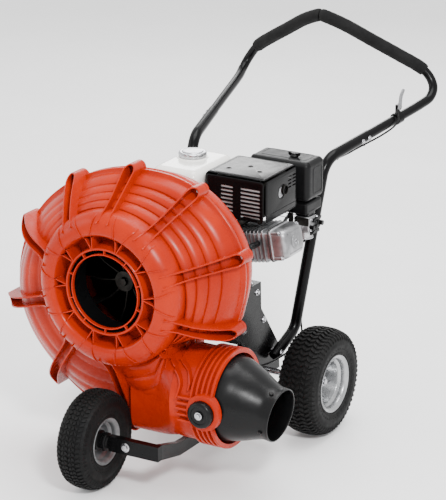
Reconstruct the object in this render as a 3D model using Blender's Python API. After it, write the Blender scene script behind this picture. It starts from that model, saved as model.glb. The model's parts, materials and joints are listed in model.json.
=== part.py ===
"""Walk-behind leaf blower: a moulded centrifugal fan housing with a tilting nozzle, driven directly by a
horizontal-shaft engine on a three-wheeled steel chassis with a bowed push handle.

Metres, +Z up. -Y is the front (the air intake), +X is the discharge side, +Y is the operator's side.
Shapes are written round the crankshaft: x = 0 and y = 0 on the crankshaft axis at the crankcase's front,
z = 0 on the floor. FRAME_SHIFT then moves the origin to the middle of the machine's footprint.
"""
import math

import bmesh
import bpy
import numpy as np
from mathutils import Matrix, Vector

# ---------------------------------------------------------------- driving dimensions
FRAME_SHIFT = Vector((-0.0362, -0.2358, 0.0))
GAP = 0.0004                     # running gap left between neighbouring solids

CRANK_Z = 0.585                  # height of the crankshaft and of the intake centre
WALL = 0.004                     # moulded wall of the fan housing
SPLIT_Y = -0.200                 # joint between the two housing halves
TORUS_Y = -0.347                 # middle of the rolled intake rim
TORUS_R = 0.178                  # circle through the middle of the rolled rim
TORUS_TUBE = 0.055               # radius of the roll itself
THROAT_Y = -0.300                # rear end of the intake throat
BACK_Y = -0.120                  # rear wall of the housing
RIB_COUNT = 10
RIB_RADII = (0.366, 0.388, 0.372, 0.340, 0.347, 0.394, 0.450, 0.468, 0.478, 0.420)
FULLNESS = (0.30, 0.05, 0.0, 0.0, 0.10, 0.35, 0.60, 0.40, 0.0, 0.90)   # 1 keeps the volute's front face flat
RIB_FIRST_DEG = -18.0            # the first rib's angle, then one every 36 degrees
RIB_HEIGHT = 0.034               # how far a rib stands in front of the volute at the intake roll
NOSE = 0.021                     # how far a rib's nose stands out past the flange
FLANGE = 0.014                   # height of the joint flange round the scroll
SCROLL_STEPS = 40                # facets round the scroll
SHAFT_HOLE_R = 0.060             # hole in the rear wall for the crankcase boss

GUARD_Y = -0.403                 # front of the inlet guard
GUARD_R = 0.127
GUARD_INNER_R = 0.110

NOZZLE_C = Vector((0.319, -0.240, 0.279))   # centre of the nozzle ball, on its pivot axis
BALL_R = 0.1275
MOUTH_R = 0.075
MOUTH_AT = 0.172
NOZZLE_DROP_DEG = 8.0
COLLAR_R = 0.133                 # bore of the discharge collar
COLLAR_X = (0.204, 0.336)

REAR_TYRE_R = 0.165
REAR_TYRE_W = 0.127
REAR_RIM_R = 0.089
REAR_TRACK = 0.696
AXLE_Y = 0.251
AXLE_R = 0.0095

FRONT_TYRE_R = 0.147
FRONT_TYRE_W = 0.095
FRONT_RIM_R = 0.070
FRONT_C = Vector((-0.015, -0.430, FRONT_TYRE_R))

LEG_R = 0.017
BOW_R = 0.0145
FOAM_R = 0.0205

MUFFLER = ((0.060, 0.062, 0.690), (0.268, 0.262, 0.833))
CLEANER = ((0.085, 0.285, 0.668), (0.288, 0.392, 0.827))
TANK = ((-0.135, 0.030, 0.705), (0.053, 0.262, 0.831))
CRANKCASE = ((-0.128, -0.040, 0.457), (0.122, 0.200, 0.692))
CYLINDER_Y = (0.060, 0.185)
CYL_TILT_DEG = 10.0
SHAFT_R = 0.0127
FAN_R = 0.215
BLADES = 10
SHROUD_R = 0.117
FUEL_CAP = Vector((-0.040, 0.170, 0.0))
FUEL_CAP_R = 0.043

EAR_Y = 0.150                    # how far the collar's pivot ears reach from the nozzle's middle
EAR_R = 0.055
CAP_R = 0.044
PIVOT_R = 0.012

FRONT_AXLE_R = 0.008
BASE_HALF = 0.165
DECK_Z = 0.4565
LEG_BEND = Vector((0.233, 0.498, 0.776))    # where the handle turns back towards the operator
BOW_CORNER = Vector((0.340, 1.000, 0.860))
SLEEVE_Y = 0.700                 # rear end of the legs, where the bow slides in
LEVER_Y = 0.840
CABLE_R = 0.003

X = Vector((1, 0, 0))
Y = Vector((0, 1, 0))
Z = Vector((0, 0, 1))

for item in list(bpy.data.objects):
    bpy.data.objects.remove(item)
for mesh_block in list(bpy.data.meshes):
    bpy.data.meshes.remove(mesh_block)


# ---------------------------------------------------------------- materials
def finish(name, rgb, roughness, metallic=0.0):
    mat = bpy.data.materials.new(name)
    mat.use_nodes = True
    shader = mat.node_tree.nodes["Principled BSDF"]
    shader.inputs["Base Color"].default_value = (*rgb, 1.0)
    shader.inputs["Roughness"].default_value = roughness
    shader.inputs["Metallic"].default_value = metallic
    return mat


ORANGE = finish("orange_moulding", (0.80, 0.10, 0.025), 0.35)
BLACK_MOULDING = finish("black_moulding", (0.015, 0.015, 0.016), 0.35)
BLACK_PAINT = finish("black_paint", (0.02, 0.02, 0.021), 0.4)
DARK_STEEL = finish("dark_steel", (0.10, 0.10, 0.11), 0.45, 1.0)
ZINC = finish("zinc_steel", (0.62, 0.62, 0.64), 0.3, 1.0)
RIM_SILVER = finish("rim_silver", (0.72, 0.72, 0.73), 0.3, 0.8)
RIM_GREY = finish("rim_grey", (0.33, 0.33, 0.34), 0.4, 0.8)
TYRE = finish("tyre_rubber", (0.018, 0.018, 0.019), 0.7)
FOAM = finish("foam_grip", (0.03, 0.03, 0.031), 0.9)
ALLOY = finish("cast_alloy", (0.55, 0.55, 0.57), 0.45, 0.9)
GASKET = finish("gasket", (0.02, 0.02, 0.02), 0.8)
TANK_WHITE = finish("tank_white", (0.80, 0.79, 0.74), 0.3)
CLEANER_BLACK = finish("cleaner_black", (0.03, 0.03, 0.032), 0.55)
LEVER_GREY = finish("lever_grey", (0.45, 0.46, 0.48), 0.4)


# ---------------------------------------------------------------- mesh helpers
def node(name, bm, mat, pivot=(0, 0, 0), smooth_deg=35):
    """Closes a bmesh into a named object whose origin is at pivot, with round faces shaded smooth."""
    bmesh.ops.remove_doubles(bm, verts=bm.verts, dist=1e-6)
    bmesh.ops.recalc_face_normals(bm, faces=bm.faces)
    pivot = Vector(pivot)
    bmesh.ops.translate(bm, verts=bm.verts, vec=-pivot)
    mesh = bpy.data.meshes.new(name)
    bm.to_mesh(mesh)
    bm.free()
    mesh.shade_smooth()
    mesh.set_sharp_from_angle(angle=math.radians(smooth_deg))
    mesh.materials.append(mat)
    obj = bpy.data.objects.new(name, mesh)
    obj.location = pivot + FRAME_SHIFT
    bpy.context.scene.collection.objects.link(obj)
    return obj


def helper(name, bm):
    """An object that only cuts or joins: left out of the model."""
    bmesh.ops.triangulate(bm, faces=bm.faces)
    obj = node(name, bm, DARK_STEEL)
    obj.hide_render = True
    obj.display_type = "WIRE"
    return obj


def combine(obj, other, operation, solver="EXACT"):
    mod = obj.modifiers.new(f"{operation.lower()}_{other.name}", "BOOLEAN")
    mod.operation = operation
    mod.object = other
    mod.solver = solver
    return mod


def frame_to(direction, origin=(0, 0, 0), spin=None):
    """Matrix whose local Z lies along direction."""
    direction = Vector(direction).normalized()
    turn = direction.to_track_quat("Z", "Y").to_matrix().to_4x4()
    if spin:
        turn = turn @ Matrix.Rotation(spin, 4, "Z")
    return Matrix.Translation(Vector(origin)) @ turn


def add_lathe(bm, profile, axis=Z, origin=(0, 0, 0), steps=24, closed=True, start=0.0):
    """Turns (radius, height) points round an axis. Closed makes a ring; open ends on caps."""
    matrix = frame_to(axis, origin)
    rings = []
    for radius, height in profile:
        ring = []
        if radius < 1e-7:
            ring = [bm.verts.new(matrix @ Vector((0, 0, height)))] * steps
        else:
            for i in range(steps):
                angle = start + 2 * math.pi * i / steps
                point = Vector((radius * math.cos(angle), radius * math.sin(angle), height))
                ring.append(bm.verts.new(matrix @ point))
        rings.append(ring)
    pairs = list(zip(rings, rings[1:]))
    if closed:
        pairs.append((rings[-1], rings[0]))
    for low, high in pairs:
        for i in range(steps):
            j = (i + 1) % steps
            corners = []
            for vert in (low[i], low[j], high[j], high[i]):
                if vert not in corners:
                    corners.append(vert)
            if len(corners) > 2:
                bm.faces.new(corners)
    if not closed:
        for ring in (rings[0], rings[-1]):
            if ring[0] is not ring[1]:
                bm.faces.new(ring)
    return bm


def lathe(profile, **options):
    return add_lathe(bmesh.new(), profile, **options)


def add_rod(bm, start, end, radius, steps=16, spin=0.0):
    start = Vector(start)
    length = (Vector(end) - start).length
    return add_lathe(bm, [(radius, 0), (radius, length)], axis=Vector(end) - start, origin=start,
                     steps=steps, closed=False, start=spin)


def rod(start, end, radius, steps=16, spin=0.0):
    return add_rod(bmesh.new(), start, end, radius, steps, spin)


def add_prism(bm, outline, axis, low, high):
    """Extrudes a closed outline in the plane across a world axis from low to high along it."""
    order = {"X": lambda a, b, h: (h, a, b), "Y": lambda a, b, h: (a, h, b), "Z": lambda a, b, h: (a, b,
                                                                                                   h)}[axis]
    bottom = [bm.verts.new(order(a, b, low)) for a, b in outline]
    top = [bm.verts.new(order(a, b, high)) for a, b in outline]
    bm.faces.new(bottom)
    bm.faces.new(top)
    for i in range(len(outline)):
        j = (i + 1) % len(outline)
        bm.faces.new((bottom[i], bottom[j], top[j], top[i]))
    return bm


def prism(outline, axis, low, high):
    return add_prism(bmesh.new(), outline, axis, low, high)


def add_box(bm, low, high):
    (x0, y0, z0), (x1, y1, z1) = low, high
    return add_prism(bm, [(x0, y0), (x1, y0), (x1, y1), (x0, y1)], "Z", z0, z1)


def box(low, high):
    return add_box(bmesh.new(), low, high)


def soften(obj, width, segments=2, angle_deg=35):
    mod = obj.modifiers.new("edges", "BEVEL")
    mod.width = width
    mod.segments = segments
    mod.limit_method = "ANGLE"
    mod.angle_limit = math.radians(angle_deg)
    return mod


def rounded_outline(low, high, radius, steps=3):
    """A rectangle with round corners."""
    points = []
    corners = ((high[0] - radius, high[1] - radius, 0), (low[0] + radius, high[1] - radius, 90),
               (low[0] + radius, low[1] + radius, 180), (high[0] - radius, low[1] + radius, 270))
    for cx, cy, first in corners:
        for k in range(steps + 1):
            angle = math.radians(first + 90 * k / steps)
            points.append((cx + radius * math.cos(angle), cy + radius * math.sin(angle)))
    return points


def smooth_path(points, per_span=4):
    """A Catmull-Rom curve through the points."""
    points = [Vector(p) for p in points]
    path = []
    for i in range(len(points) - 1):
        before = points[i - 1] if i else points[0] * 2 - points[1]
        after = points[i + 2] if i + 2 < len(points) else points[-1] * 2 - points[-2]
        for k in range(per_span):
            t = k / per_span
            path.append(0.5 * (2 * points[i] + (points[i + 1] - before) * t
                        + (2 * before - 5 * points[i] + 4 * points[i + 1] - after) * t * t
                        + (3 * points[i] - before - 3 * points[i + 1] + after) * t ** 3))
    path.append(points[-1])
    return path


def rounded_path(points, radii, steps=5):
    """Straight runs joined by arcs of the given radii at the inner points."""
    points = [Vector(p) for p in points]
    path = [points[0]]
    for before, corner, after, radius in zip(points, points[1:], points[2:], radii):
        into = (corner - before).normalized()
        out = (after - corner).normalized()
        half = into.angle(out) / 2
        reach = radius * math.tan(half)
        start = corner - into * reach
        centre = corner + (out - into).normalized() * radius / math.cos(half)
        first = start - centre
        normal = into.cross(out).normalized()
        for k in range(steps + 1):
            path.append(centre + Matrix.Rotation(2 * half * k / steps, 3, normal) @ first)
    path.append(points[-1])
    return path


def add_sweep(bm, path, radius, sides=10):
    """A round bar along a path, with a frame carried along it so that it never twists."""
    tangents = [(b - a).normalized() for a, b in zip(path, path[1:])]
    tangents = [tangents[0]] + [(a + b).normalized() for a, b in zip(tangents, tangents[1:])] + [tangents[-1]]
    side = tangents[0].orthogonal().normalized()
    rings = []
    for i, (point, tangent) in enumerate(zip(path, tangents)):
        if i:
            side = (side - tangent * side.dot(tangent)).normalized()
        other = tangent.cross(side)
        ring = []
        for k in range(sides):
            angle = 2 * math.pi * k / sides
            ring.append(bm.verts.new(point + (side * math.cos(angle) + other * math.sin(angle)) * radius))
        rings.append(ring)
    for low, high in zip(rings, rings[1:]):
        for k in range(sides):
            j = (k + 1) % sides
            bm.faces.new((low[k], low[j], high[j], high[k]))
    bm.faces.new(rings[0])
    bm.faces.new(rings[-1])
    return bm


def sweep(path, radius, sides=10):
    return add_sweep(bmesh.new(), path, radius, sides)


# ---------------------------------------------------------------- fan housing
def periodic(values, angle):
    """Smooth closed curve through values spaced evenly round a circle from RIB_FIRST_DEG."""
    place = (math.degrees(angle) - RIB_FIRST_DEG) / 36.0
    i = math.floor(place)
    t = place - i
    a, b, c, d = (values[(i + k) % RIB_COUNT] for k in (-1, 0, 1, 2))
    curve = (2 * a - 5 * b + 4 * c - d) * t * t + (3 * b - a - 3 * c + d) * t ** 3
    return 0.5 * (2 * b + (c - a) * t + curve)


def scroll_radius(angle):
    """Edge of the scroll. Near the outlet it keeps behind the collar, then rises again past the cut-off."""
    degrees = math.degrees(angle) % 360.0
    radius = periodic(RIB_RADII, angle)
    if 276 < degrees < 342:
        cut_off = 0.272 + (RIB_RADII[0] - 0.272) * max(0.0, degrees - 322) / 20
        radius = min(radius, max(COLLAR_X[0] / math.cos(angle), cut_off))
    return radius


def foot_radius(skin):
    return TORUS_R + TORUS_TUBE * math.cos(math.radians(20)) - skin


def volute_y(angle, u, skin=0.0):
    """Front face of the volute at u = 0 beside the intake roll to u = 1 at the rim."""
    y_near = TORUS_Y + TORUS_TUBE * 0.34 + skin
    y_far = SPLIT_Y - 0.020 + skin * 0.4
    return y_near + (y_far - y_near) * u ** (1.0 + 4.0 * periodic(FULLNESS, angle))


def wall_section(angle, skin):
    """(radius, y) points of one skin of the housing wall, from the throat round to the rear wall.
    skin is 0 on the outside and WALL on the inside."""
    rim = scroll_radius(angle) - NOSE - FLANGE - skin
    lip = GUARD_Y + 0.011
    groove = GUARD_Y + 0.045 + skin
    if skin:
        section = [(GUARD_R - 0.001, THROAT_Y), (GUARD_R + 0.001, groove), (0.157, groove), (0.164,
                                                                                             GUARD_Y + 0.013)]
    else:
        section = [(GUARD_R - 0.005, THROAT_Y), (GUARD_R - 0.003, lip), (GUARD_R + 0.003, lip),
                   (0.140, groove), (0.154, groove), (0.161, lip)]
    for degrees in (90, 55, 20):
        turn = math.radians(degrees)
        roll = TORUS_TUBE - skin
        section.append((TORUS_R + roll * math.cos(turn), TORUS_Y - roll * math.sin(turn)))
    foot = foot_radius(skin)
    section.append((foot, volute_y(angle, 0.0, skin)))
    for u in (0.3, 0.6, 0.85):
        section.append((foot + (rim - foot) * u, volute_y(angle, u, skin)))
    section.append((rim, volute_y(angle, 1.0, skin)))
    if not skin:
        section += [(rim + FLANGE, SPLIT_Y - 0.010), (rim + FLANGE, SPLIT_Y + 0.010)]
    section += [(rim, SPLIT_Y + 0.020), (rim - 0.022, BACK_Y - skin)]
    return section


def housing_solid(skin, steps):
    """A closed body bounded by one skin of the wall. The inside one opens the throat and shaft hole."""
    bm = bmesh.new()
    rings = []
    for i in range(steps):
        angle = 2 * math.pi * i / steps
        section = wall_section(angle, skin)
        if skin:
            section[0] = (section[0][0], THROAT_Y - 0.0005)
            section += [(SHAFT_HOLE_R, BACK_Y - skin), (SHAFT_HOLE_R, BACK_Y + 0.010)]
        ring = []
        for radius, y in section:
            ring.append(bm.verts.new((radius * math.cos(angle), y, CRANK_Z + radius * math.sin(angle))))
        rings.append(ring)
    for i in range(steps):
        low, high = rings[i], rings[(i + 1) % steps]
        for a, b, c, d in zip(low, low[1:], high[1:], high):
            bm.faces.new((a, b, c, d))
    bm.faces.new([ring[0] for ring in rings])
    bm.faces.new([ring[-1] for ring in rings])
    return bm


def duct_tube(skin, x0, x1, steps=24):
    """The outlet duct: a squarish section inside the volute that becomes round at the collar."""
    bm = bmesh.new()
    rings = []
    stations = ((0.0, 1.0), (0.45, 0.9), (0.75, 0.4), (1.0, 0.0))
    for along, squareness in stations:
        x = x0 + (x1 - x0) * along
        ring = []
        for k in range(steps):
            angle = 2 * math.pi * k / steps
            ca, sa = math.cos(angle), math.sin(angle)
            power = 2.0 + 3.0 * squareness
            reach = (abs(ca) ** power + abs(sa) ** power) ** (-1.0 / power)
            half_y = 0.130 - 0.045 * squareness - skin
            half_z = 0.130 + 0.006 * squareness - skin
            y = NOZZLE_C.y + 0.020 * squareness + half_y * ca * reach
            z = NOZZLE_C.z - 0.010 * squareness + half_z * sa * reach
            ring.append(bm.verts.new((x, y, z)))
        rings.append(ring)
    for low, high in zip(rings, rings[1:]):
        for k in range(steps):
            j = (k + 1) % steps
            bm.faces.new((low[k], low[j], high[j], high[k]))
    bm.faces.new(rings[0])
    bm.faces.new(rings[-1])
    return bm


def rib_blades():
    """Hollow ribs: two thin walls that run from the intake roll and close in a round nose on the flange."""
    bm = bmesh.new()
    for i in range(RIB_COUNT - 1):
        angle = math.radians(RIB_FIRST_DEG + 36 * i)
        radial = Vector((math.cos(angle), 0, math.sin(angle)))
        across = Vector((-math.sin(angle), 0, math.cos(angle)))
        tip = scroll_radius(angle)
        foot = foot_radius(0.0)
        outline = [(foot - 0.030, 0.024), (tip - 0.030, 0.014)]
        for degrees in (55, 0, -55):
            turn = math.radians(degrees)
            outline.append((tip - 0.014 + 0.014 * math.cos(turn), 0.014 * math.sin(turn)))
        outline += [(tip - 0.030, -0.014), (foot - 0.030, -0.024)]
        inner = [(foot + 0.002, -0.019), (tip - 0.032, -0.010), (tip - 0.022, 0.0), (tip - 0.032, 0.010),
                 (foot + 0.002, 0.019)]

        def front_y(radius, depth=0.0):
            u = min(1.0, max(0.0, (radius - foot) / (tip - foot)))
            return volute_y(angle, u) - RIB_HEIGHT * (1.0 - 0.45 * u) * (1.0 - depth)

        def place(radius, offset, y):
            return Vector((0, y, CRANK_Z)) + radial * radius + across * offset

        back = SPLIT_Y - 0.0005
        outer_front = [bm.verts.new(place(r, h, front_y(r))) for r, h in outline]
        outer_back = [bm.verts.new(place(r, h, back)) for r, h in outline]
        inner_front = [bm.verts.new(place(r, h, front_y(r))) for r, h in inner]
        inner_floor = [bm.verts.new(place(r, h, front_y(r, 0.9))) for r, h in inner]
        for front, rear in ((outer_front, outer_back), (inner_front, inner_floor)):
            for k in range(len(front)):
                j = (k + 1) % len(front)
                bm.faces.new((front[k], front[j], rear[j], rear[k]))
        bm.faces.new(outer_back)
        bm.faces.new(inner_floor)
        bridge = [(0, 4), (1, 3), (2, 3), (3, 2), (4, 1), (5, 1), (6, 0)]
        for k, (o, n) in enumerate(bridge):
            o2, n2 = bridge[(k + 1) % len(bridge)]
            corners = [outer_front[o], outer_front[o2], inner_front[n2]]
            if n2 != n:
                corners.append(inner_front[n])
            bm.faces.new(corners)
    return bm


def build_housing():
    # EXACT leaves open slivers where the duct skins graze the volute, so these cuts use MANIFOLD.
    inside = helper("housing_inside", housing_solid(WALL, SCROLL_STEPS))
    duct_out = helper("duct_outside", duct_tube(0.0, 0.030, COLLAR_X[0] - GAP))
    duct_in = helper("duct_inside", duct_tube(WALL, 0.020, COLLAR_X[0] + 0.010))
    ribs = helper("housing_ribs", rib_blades())
    room = [(COLLAR_R + 0.0155, COLLAR_X[0] - GAP), (COLLAR_R + 0.0155, 0.40)]
    centre = (0, NOZZLE_C.y, NOZZLE_C.z)
    collar_room = helper("collar_room", lathe(room, axis=X, origin=centre, steps=32, closed=False))
    halves = (("front_shell", "INTERSECT", SPLIT_Y - GAP / 2), ("back_shell", "DIFFERENCE", SPLIT_Y + GAP / 2))
    for name, keep, edge in halves:
        half = helper(f"{name}_half_space", box((-0.7, -0.6, 0.0), (0.6, edge, 1.2)))
        outside = housing_solid(0.0, SCROLL_STEPS)
        bmesh.ops.triangulate(outside, faces=outside.faces)
        obj = node(name, outside, ORANGE)
        combine(obj, duct_out, "UNION", "MANIFOLD")
        if name == "front_shell":
            combine(obj, ribs, "UNION", "MANIFOLD")
        combine(obj, inside, "DIFFERENCE", "MANIFOLD")
        combine(obj, duct_in, "DIFFERENCE", "MANIFOLD")
        combine(obj, collar_room, "DIFFERENCE", "MANIFOLD")
        combine(obj, half, keep, "MANIFOLD")


# ---------------------------------------------------------------- intake and outlet
def build_inlet_ring():
    """A thin ring held inside the intake lip by ten short spokes."""
    bm = lathe([(GUARD_INNER_R - 0.002, GUARD_Y + 0.012), (GUARD_INNER_R + 0.002, GUARD_Y + 0.012),
                (GUARD_INNER_R + 0.002, GUARD_Y + 0.024), (GUARD_INNER_R - 0.002, GUARD_Y + 0.024)],
               axis=Y, origin=(0, 0, CRANK_Z), steps=30)
    ring = node("inlet_ring", bm, ORANGE)
    spokes = bmesh.new()
    for i in range(RIB_COUNT):
        turn = Matrix.Translation((0, 0, CRANK_Z)) @ Matrix.Rotation(math.radians(36 * i), 4, "Y")
        spoke = box((-0.0015, GUARD_Y + 0.013, GUARD_INNER_R), (0.0015, GUARD_Y + 0.023,
                                                                GUARD_R - 0.0035 - GAP))
        bmesh.ops.transform(spoke, matrix=turn, verts=spoke.verts)
        part = bpy.data.meshes.new("spoke")
        spoke.to_mesh(part)
        spoke.free()
        spokes.from_mesh(part)
        bpy.data.meshes.remove(part)
    combine(ring, helper("inlet_spokes", spokes), "UNION")


def build_collar():
    """Ridged outlet collar with an ear on each side for the nozzle's pivots."""
    bore = [(COLLAR_R, COLLAR_X[1]), (COLLAR_R, COLLAR_X[0])]
    outside = []
    ridges = 5
    pitch = (COLLAR_X[1] - COLLAR_X[0]) / ridges
    for i in range(ridges):
        x = COLLAR_X[0] + pitch * i
        outside += [(COLLAR_R + 0.007, x + 0.05 * pitch), (COLLAR_R + 0.014, x + 0.45 * pitch),
                    (COLLAR_R + 0.014, x + 0.95 * pitch)]
    outside.append((COLLAR_R + 0.014, COLLAR_X[1]))
    collar = node("discharge_collar", lathe(bore + outside, axis=X, origin=(0, NOZZLE_C.y, NOZZLE_C.z),
                                            steps=24), ORANGE)
    ears = bmesh.new()
    holes = bmesh.new()
    for side in (-1, 1):
        add_rod(ears, NOZZLE_C + Y * side * 0.120, NOZZLE_C + Y * side * EAR_Y, EAR_R, 20)
        add_rod(holes, NOZZLE_C + Y * side * 0.100, NOZZLE_C + Y * side * 0.200, PIVOT_R + 0.0005, 16)
    combine(collar, helper("collar_ears", ears), "UNION")
    clear = rod((COLLAR_X[0] - 0.01, NOZZLE_C.y, NOZZLE_C.z), (COLLAR_X[1] + 0.06, NOZZLE_C.y, NOZZLE_C.z),
                COLLAR_R, 24)
    combine(collar, helper("collar_bore", clear), "DIFFERENCE")
    combine(collar, helper("collar_pivot_holes", holes), "DIFFERENCE")


def build_nozzle():
    """Ball-jointed nozzle: a spherical shell inside the collar that narrows to a round mouth."""
    wall = 0.004
    outside = []
    inside = []
    for degrees in (-24, -8, 8, 22):
        turn = math.radians(degrees)
        outside.append((BALL_R * math.cos(turn), BALL_R * math.sin(turn)))
        inside.append(((BALL_R - wall) * math.cos(turn), (BALL_R - wall) * math.sin(turn)))
    outside += [(0.104, 0.086), (0.088, 0.122), (MOUTH_R + 0.005, 0.146), (MOUTH_R + 0.005, MOUTH_AT)]
    inside += [(0.099, 0.084), (0.083, 0.120), (MOUTH_R, 0.146), (MOUTH_R, MOUTH_AT)]
    drop = math.radians(NOZZLE_DROP_DEG)
    axis = Vector((math.cos(drop), 0, -math.sin(drop)))
    node("nozzle", lathe(outside + inside[::-1], axis=axis, origin=NOZZLE_C, steps=24), BLACK_MOULDING,
         pivot=NOZZLE_C)
    face = EAR_Y + GAP
    cap = [(PIVOT_R, BALL_R + GAP), (PIVOT_R, face), (CAP_R, face), (CAP_R, face + 0.016), (CAP_R - 0.006,
                                                                                            face + 0.021)]
    node("nozzle_pivot_cap", lathe(cap, axis=-Y, origin=NOZZLE_C, steps=24, closed=False), BLACK_MOULDING,
         pivot=NOZZLE_C)
    node("nozzle_pivot_bolt", rod(NOZZLE_C - Y * (face + 0.0214), NOZZLE_C - Y * (face + 0.028), 0.009, 6),
         ZINC,
         pivot=NOZZLE_C)
    arm = node("nozzle_control_arm", lathe(cap[:4], axis=Y, origin=NOZZLE_C, steps=20, closed=False),
               BLACK_PAINT,
               pivot=NOZZLE_C)
    x, z = NOZZLE_C.x, NOZZLE_C.z
    outline = [(x + 0.018, z - 0.010), (x + 0.018, z + 0.010), (x - 0.050, z + 0.098), (x - 0.064, z + 0.092),
               (x - 0.018, z - 0.010)]
    back = NOZZLE_C.y + face
    combine(arm, helper("control_arm_plate", prism(outline, "Y", back + 0.010, back + 0.020)), "UNION")


def build_rotor():
    """Welded fan wheel on the engine's own shaft, with the flywheel at the far end."""
    axis = (0, 0, CRANK_Z)
    hub = [(SHAFT_R + 0.0004, -0.285), (0.030, -0.285), (0.030, -0.146), (FAN_R, -0.146), (FAN_R, -0.141),
           (SHAFT_R + 0.0004, -0.141)]
    fan = node("impeller", lathe(hub, axis=Y, origin=axis, steps=28), DARK_STEEL, pivot=axis)
    blades = bmesh.new()
    for i in range(BLADES):
        start = 2 * math.pi * (i + 0.37) / BLADES
        points = []
        for k in range(4):
            radius = 0.026 + (FAN_R - 0.028) * k / 3
            turn = start - 0.28 * (k / 3) ** 1.5
            points.append((radius * math.cos(turn), radius * math.sin(turn)))
        left = []
        for (px, pz), (qx, qz) in zip(points, points[1:] + [points[-1]]):
            step = Vector((qx - px, 0, qz - pz)) if (qx, qz) != (px, pz) else step
            side = Vector((-step.z, 0, step.x)).normalized() * 0.0020
            left.append((px + side.x, pz + side.z))
        right = [(2 * p[0] - q[0], 2 * p[1] - q[1]) for p, q in zip(points, left)]
        outline = [(a, CRANK_Z + b) for a, b in left + right[::-1]]
        add_prism(blades, outline, "Y", -0.262, -0.143)
    combine(fan, helper("fan_blades", blades), "UNION", "MANIFOLD")
    bolt = [(0.0, -0.270), (0.006, -0.270), (0.006, -0.2854), (0.013, -0.2854), (0.013, -0.294), (0.0, -0.294)]
    node("impeller_bolt", lathe(bolt, axis=Y, origin=axis, steps=6, closed=False), ZINC, pivot=axis)
    node("crankshaft", rod((0, -0.262, CRANK_Z), (0, 0.286, CRANK_Z), SHAFT_R, 20), ZINC, pivot=axis)
    wheel = [(SHAFT_R + 0.0004, 0.214), (0.040, 0.214), (0.100, 0.232), (0.100, 0.268), (0.040, 0.276),
             (SHAFT_R + 0.0004, 0.276)]
    node("flywheel", lathe(wheel, axis=Y, origin=axis, steps=16), ALLOY, pivot=axis)


# ---------------------------------------------------------------- wheels
def tyre_profile(radius, bead, half_width, rim_half, steps):
    """Closed C section, open towards the rim; the tread's flats lie on the true radius."""
    tread = radius / math.cos(math.pi / steps)
    wall = 0.008
    half = [(bead + 0.0008, rim_half - 0.008), (bead + 0.012, rim_half - 0.0045),
            (bead + 0.46 * (radius - bead), half_width), (tread - 0.14 * (radius - bead), half_width * 0.90),
            (tread, half_width * 0.58)]
    core = [(bead + 0.0008, rim_half - 0.018), (bead + 0.46 * (radius - bead), half_width - wall),
            (tread - 1.6 * wall, half_width * 0.72 - wall)]
    outer = half + [(r, -h) for r, h in half[::-1]]
    inner = core + [(r, -h) for r, h in core[::-1]]
    return outer + inner[::-1]


def rim_profile(radius, bead, half, bore, dish):
    """Pressed rim: drop centre, bead seats and flanges, with a dished disc and a hub tube."""
    drum = bead - 0.0105
    t = 0.003
    return [(bore, dish + 0.011), (bore + 0.010, dish + 0.011), (bore + 0.010, dish), (drum - 0.016, dish),
            (drum - t, dish + 0.018), (drum - t, half - 0.0245), (bead - t, half - 0.0055), (radius, half),
            (bead, half - 0.007), (drum, half - 0.0255), (drum, 0.0255 - half), (bead, 0.007 - half),
            (radius, -half), (bead - t, 0.0055 - half), (drum - t, 0.0245 - half), (drum - 0.016, dish - t),
            (bore + 0.010, dish - t), (bore + 0.010, 0.014 - half), (bore, 0.014 - half)]


def build_rear_wheels():
    bead = REAR_RIM_R - 0.0105
    for side, word in ((-1, "left"), (1, "right")):
        centre = Vector((side * REAR_TRACK / 2, AXLE_Y, REAR_TYRE_R))
        steps = 20
        tyre = tyre_profile(REAR_TYRE_R, bead, REAR_TYRE_W / 2, 0.0585, steps)
        turn = math.pi / steps
        node(f"rear_tyre_{word}", lathe(tyre, axis=X * side, origin=centre, steps=steps, start=turn), TYRE,
             pivot=centre)
        rim = rim_profile(REAR_RIM_R, bead, 0.0585, AXLE_R + 0.0008, 0.001)
        node(f"rear_rim_{word}", lathe(rim, axis=X * side, origin=centre, steps=steps), RIM_SILVER,
             pivot=centre)
        nut = [(0.0114, 0.0125), (0.0160, 0.0125), (0.0160, 0.0225), (0.0114, 0.0225)]
        node(f"axle_nut_{word}", lathe(nut, axis=X * side, origin=centre, steps=6), ZINC, pivot=centre)
    end = REAR_TRACK / 2 + 0.028
    node("rear_axle", rod((-end, AXLE_Y, REAR_TYRE_R), (end, AXLE_Y, REAR_TYRE_R), AXLE_R, 16), ZINC)


def build_front_wheel():
    steps = 20
    bead = FRONT_RIM_R - 0.0095
    tyre = tyre_profile(FRONT_TYRE_R, bead, FRONT_TYRE_W / 2, 0.042, steps)
    node("front_tyre", lathe(tyre, axis=X, origin=FRONT_C, steps=steps, start=math.pi / steps), TYRE,
         pivot=FRONT_C)
    rim = rim_profile(FRONT_RIM_R, bead, 0.042, 0.0225, -0.004)
    node("front_rim", lathe(rim, axis=X, origin=FRONT_C, steps=steps), RIM_GREY, pivot=FRONT_C)
    hub = [(FRONT_AXLE_R + 0.0006, -0.040), (0.0218, -0.040), (0.0218, 0.0105), (0.030, 0.0105),
           (0.030, 0.052), (FRONT_AXLE_R + 0.0006, 0.052)]
    node("front_hub", lathe(hub, axis=X, origin=FRONT_C, steps=20), BLACK_MOULDING, pivot=FRONT_C)
    end = FRONT_C - X * 0.052
    node("front_axle", rod(end, FRONT_C + X * 0.080, FRONT_AXLE_R, 14), ZINC)
    nut = [(0.0100, -0.0405), (0.0155, -0.0405), (0.0155, -0.0500), (0.0100, -0.0500)]
    node("front_axle_nut", lathe(nut, axis=X, origin=FRONT_C, steps=6), ZINC)


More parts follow.
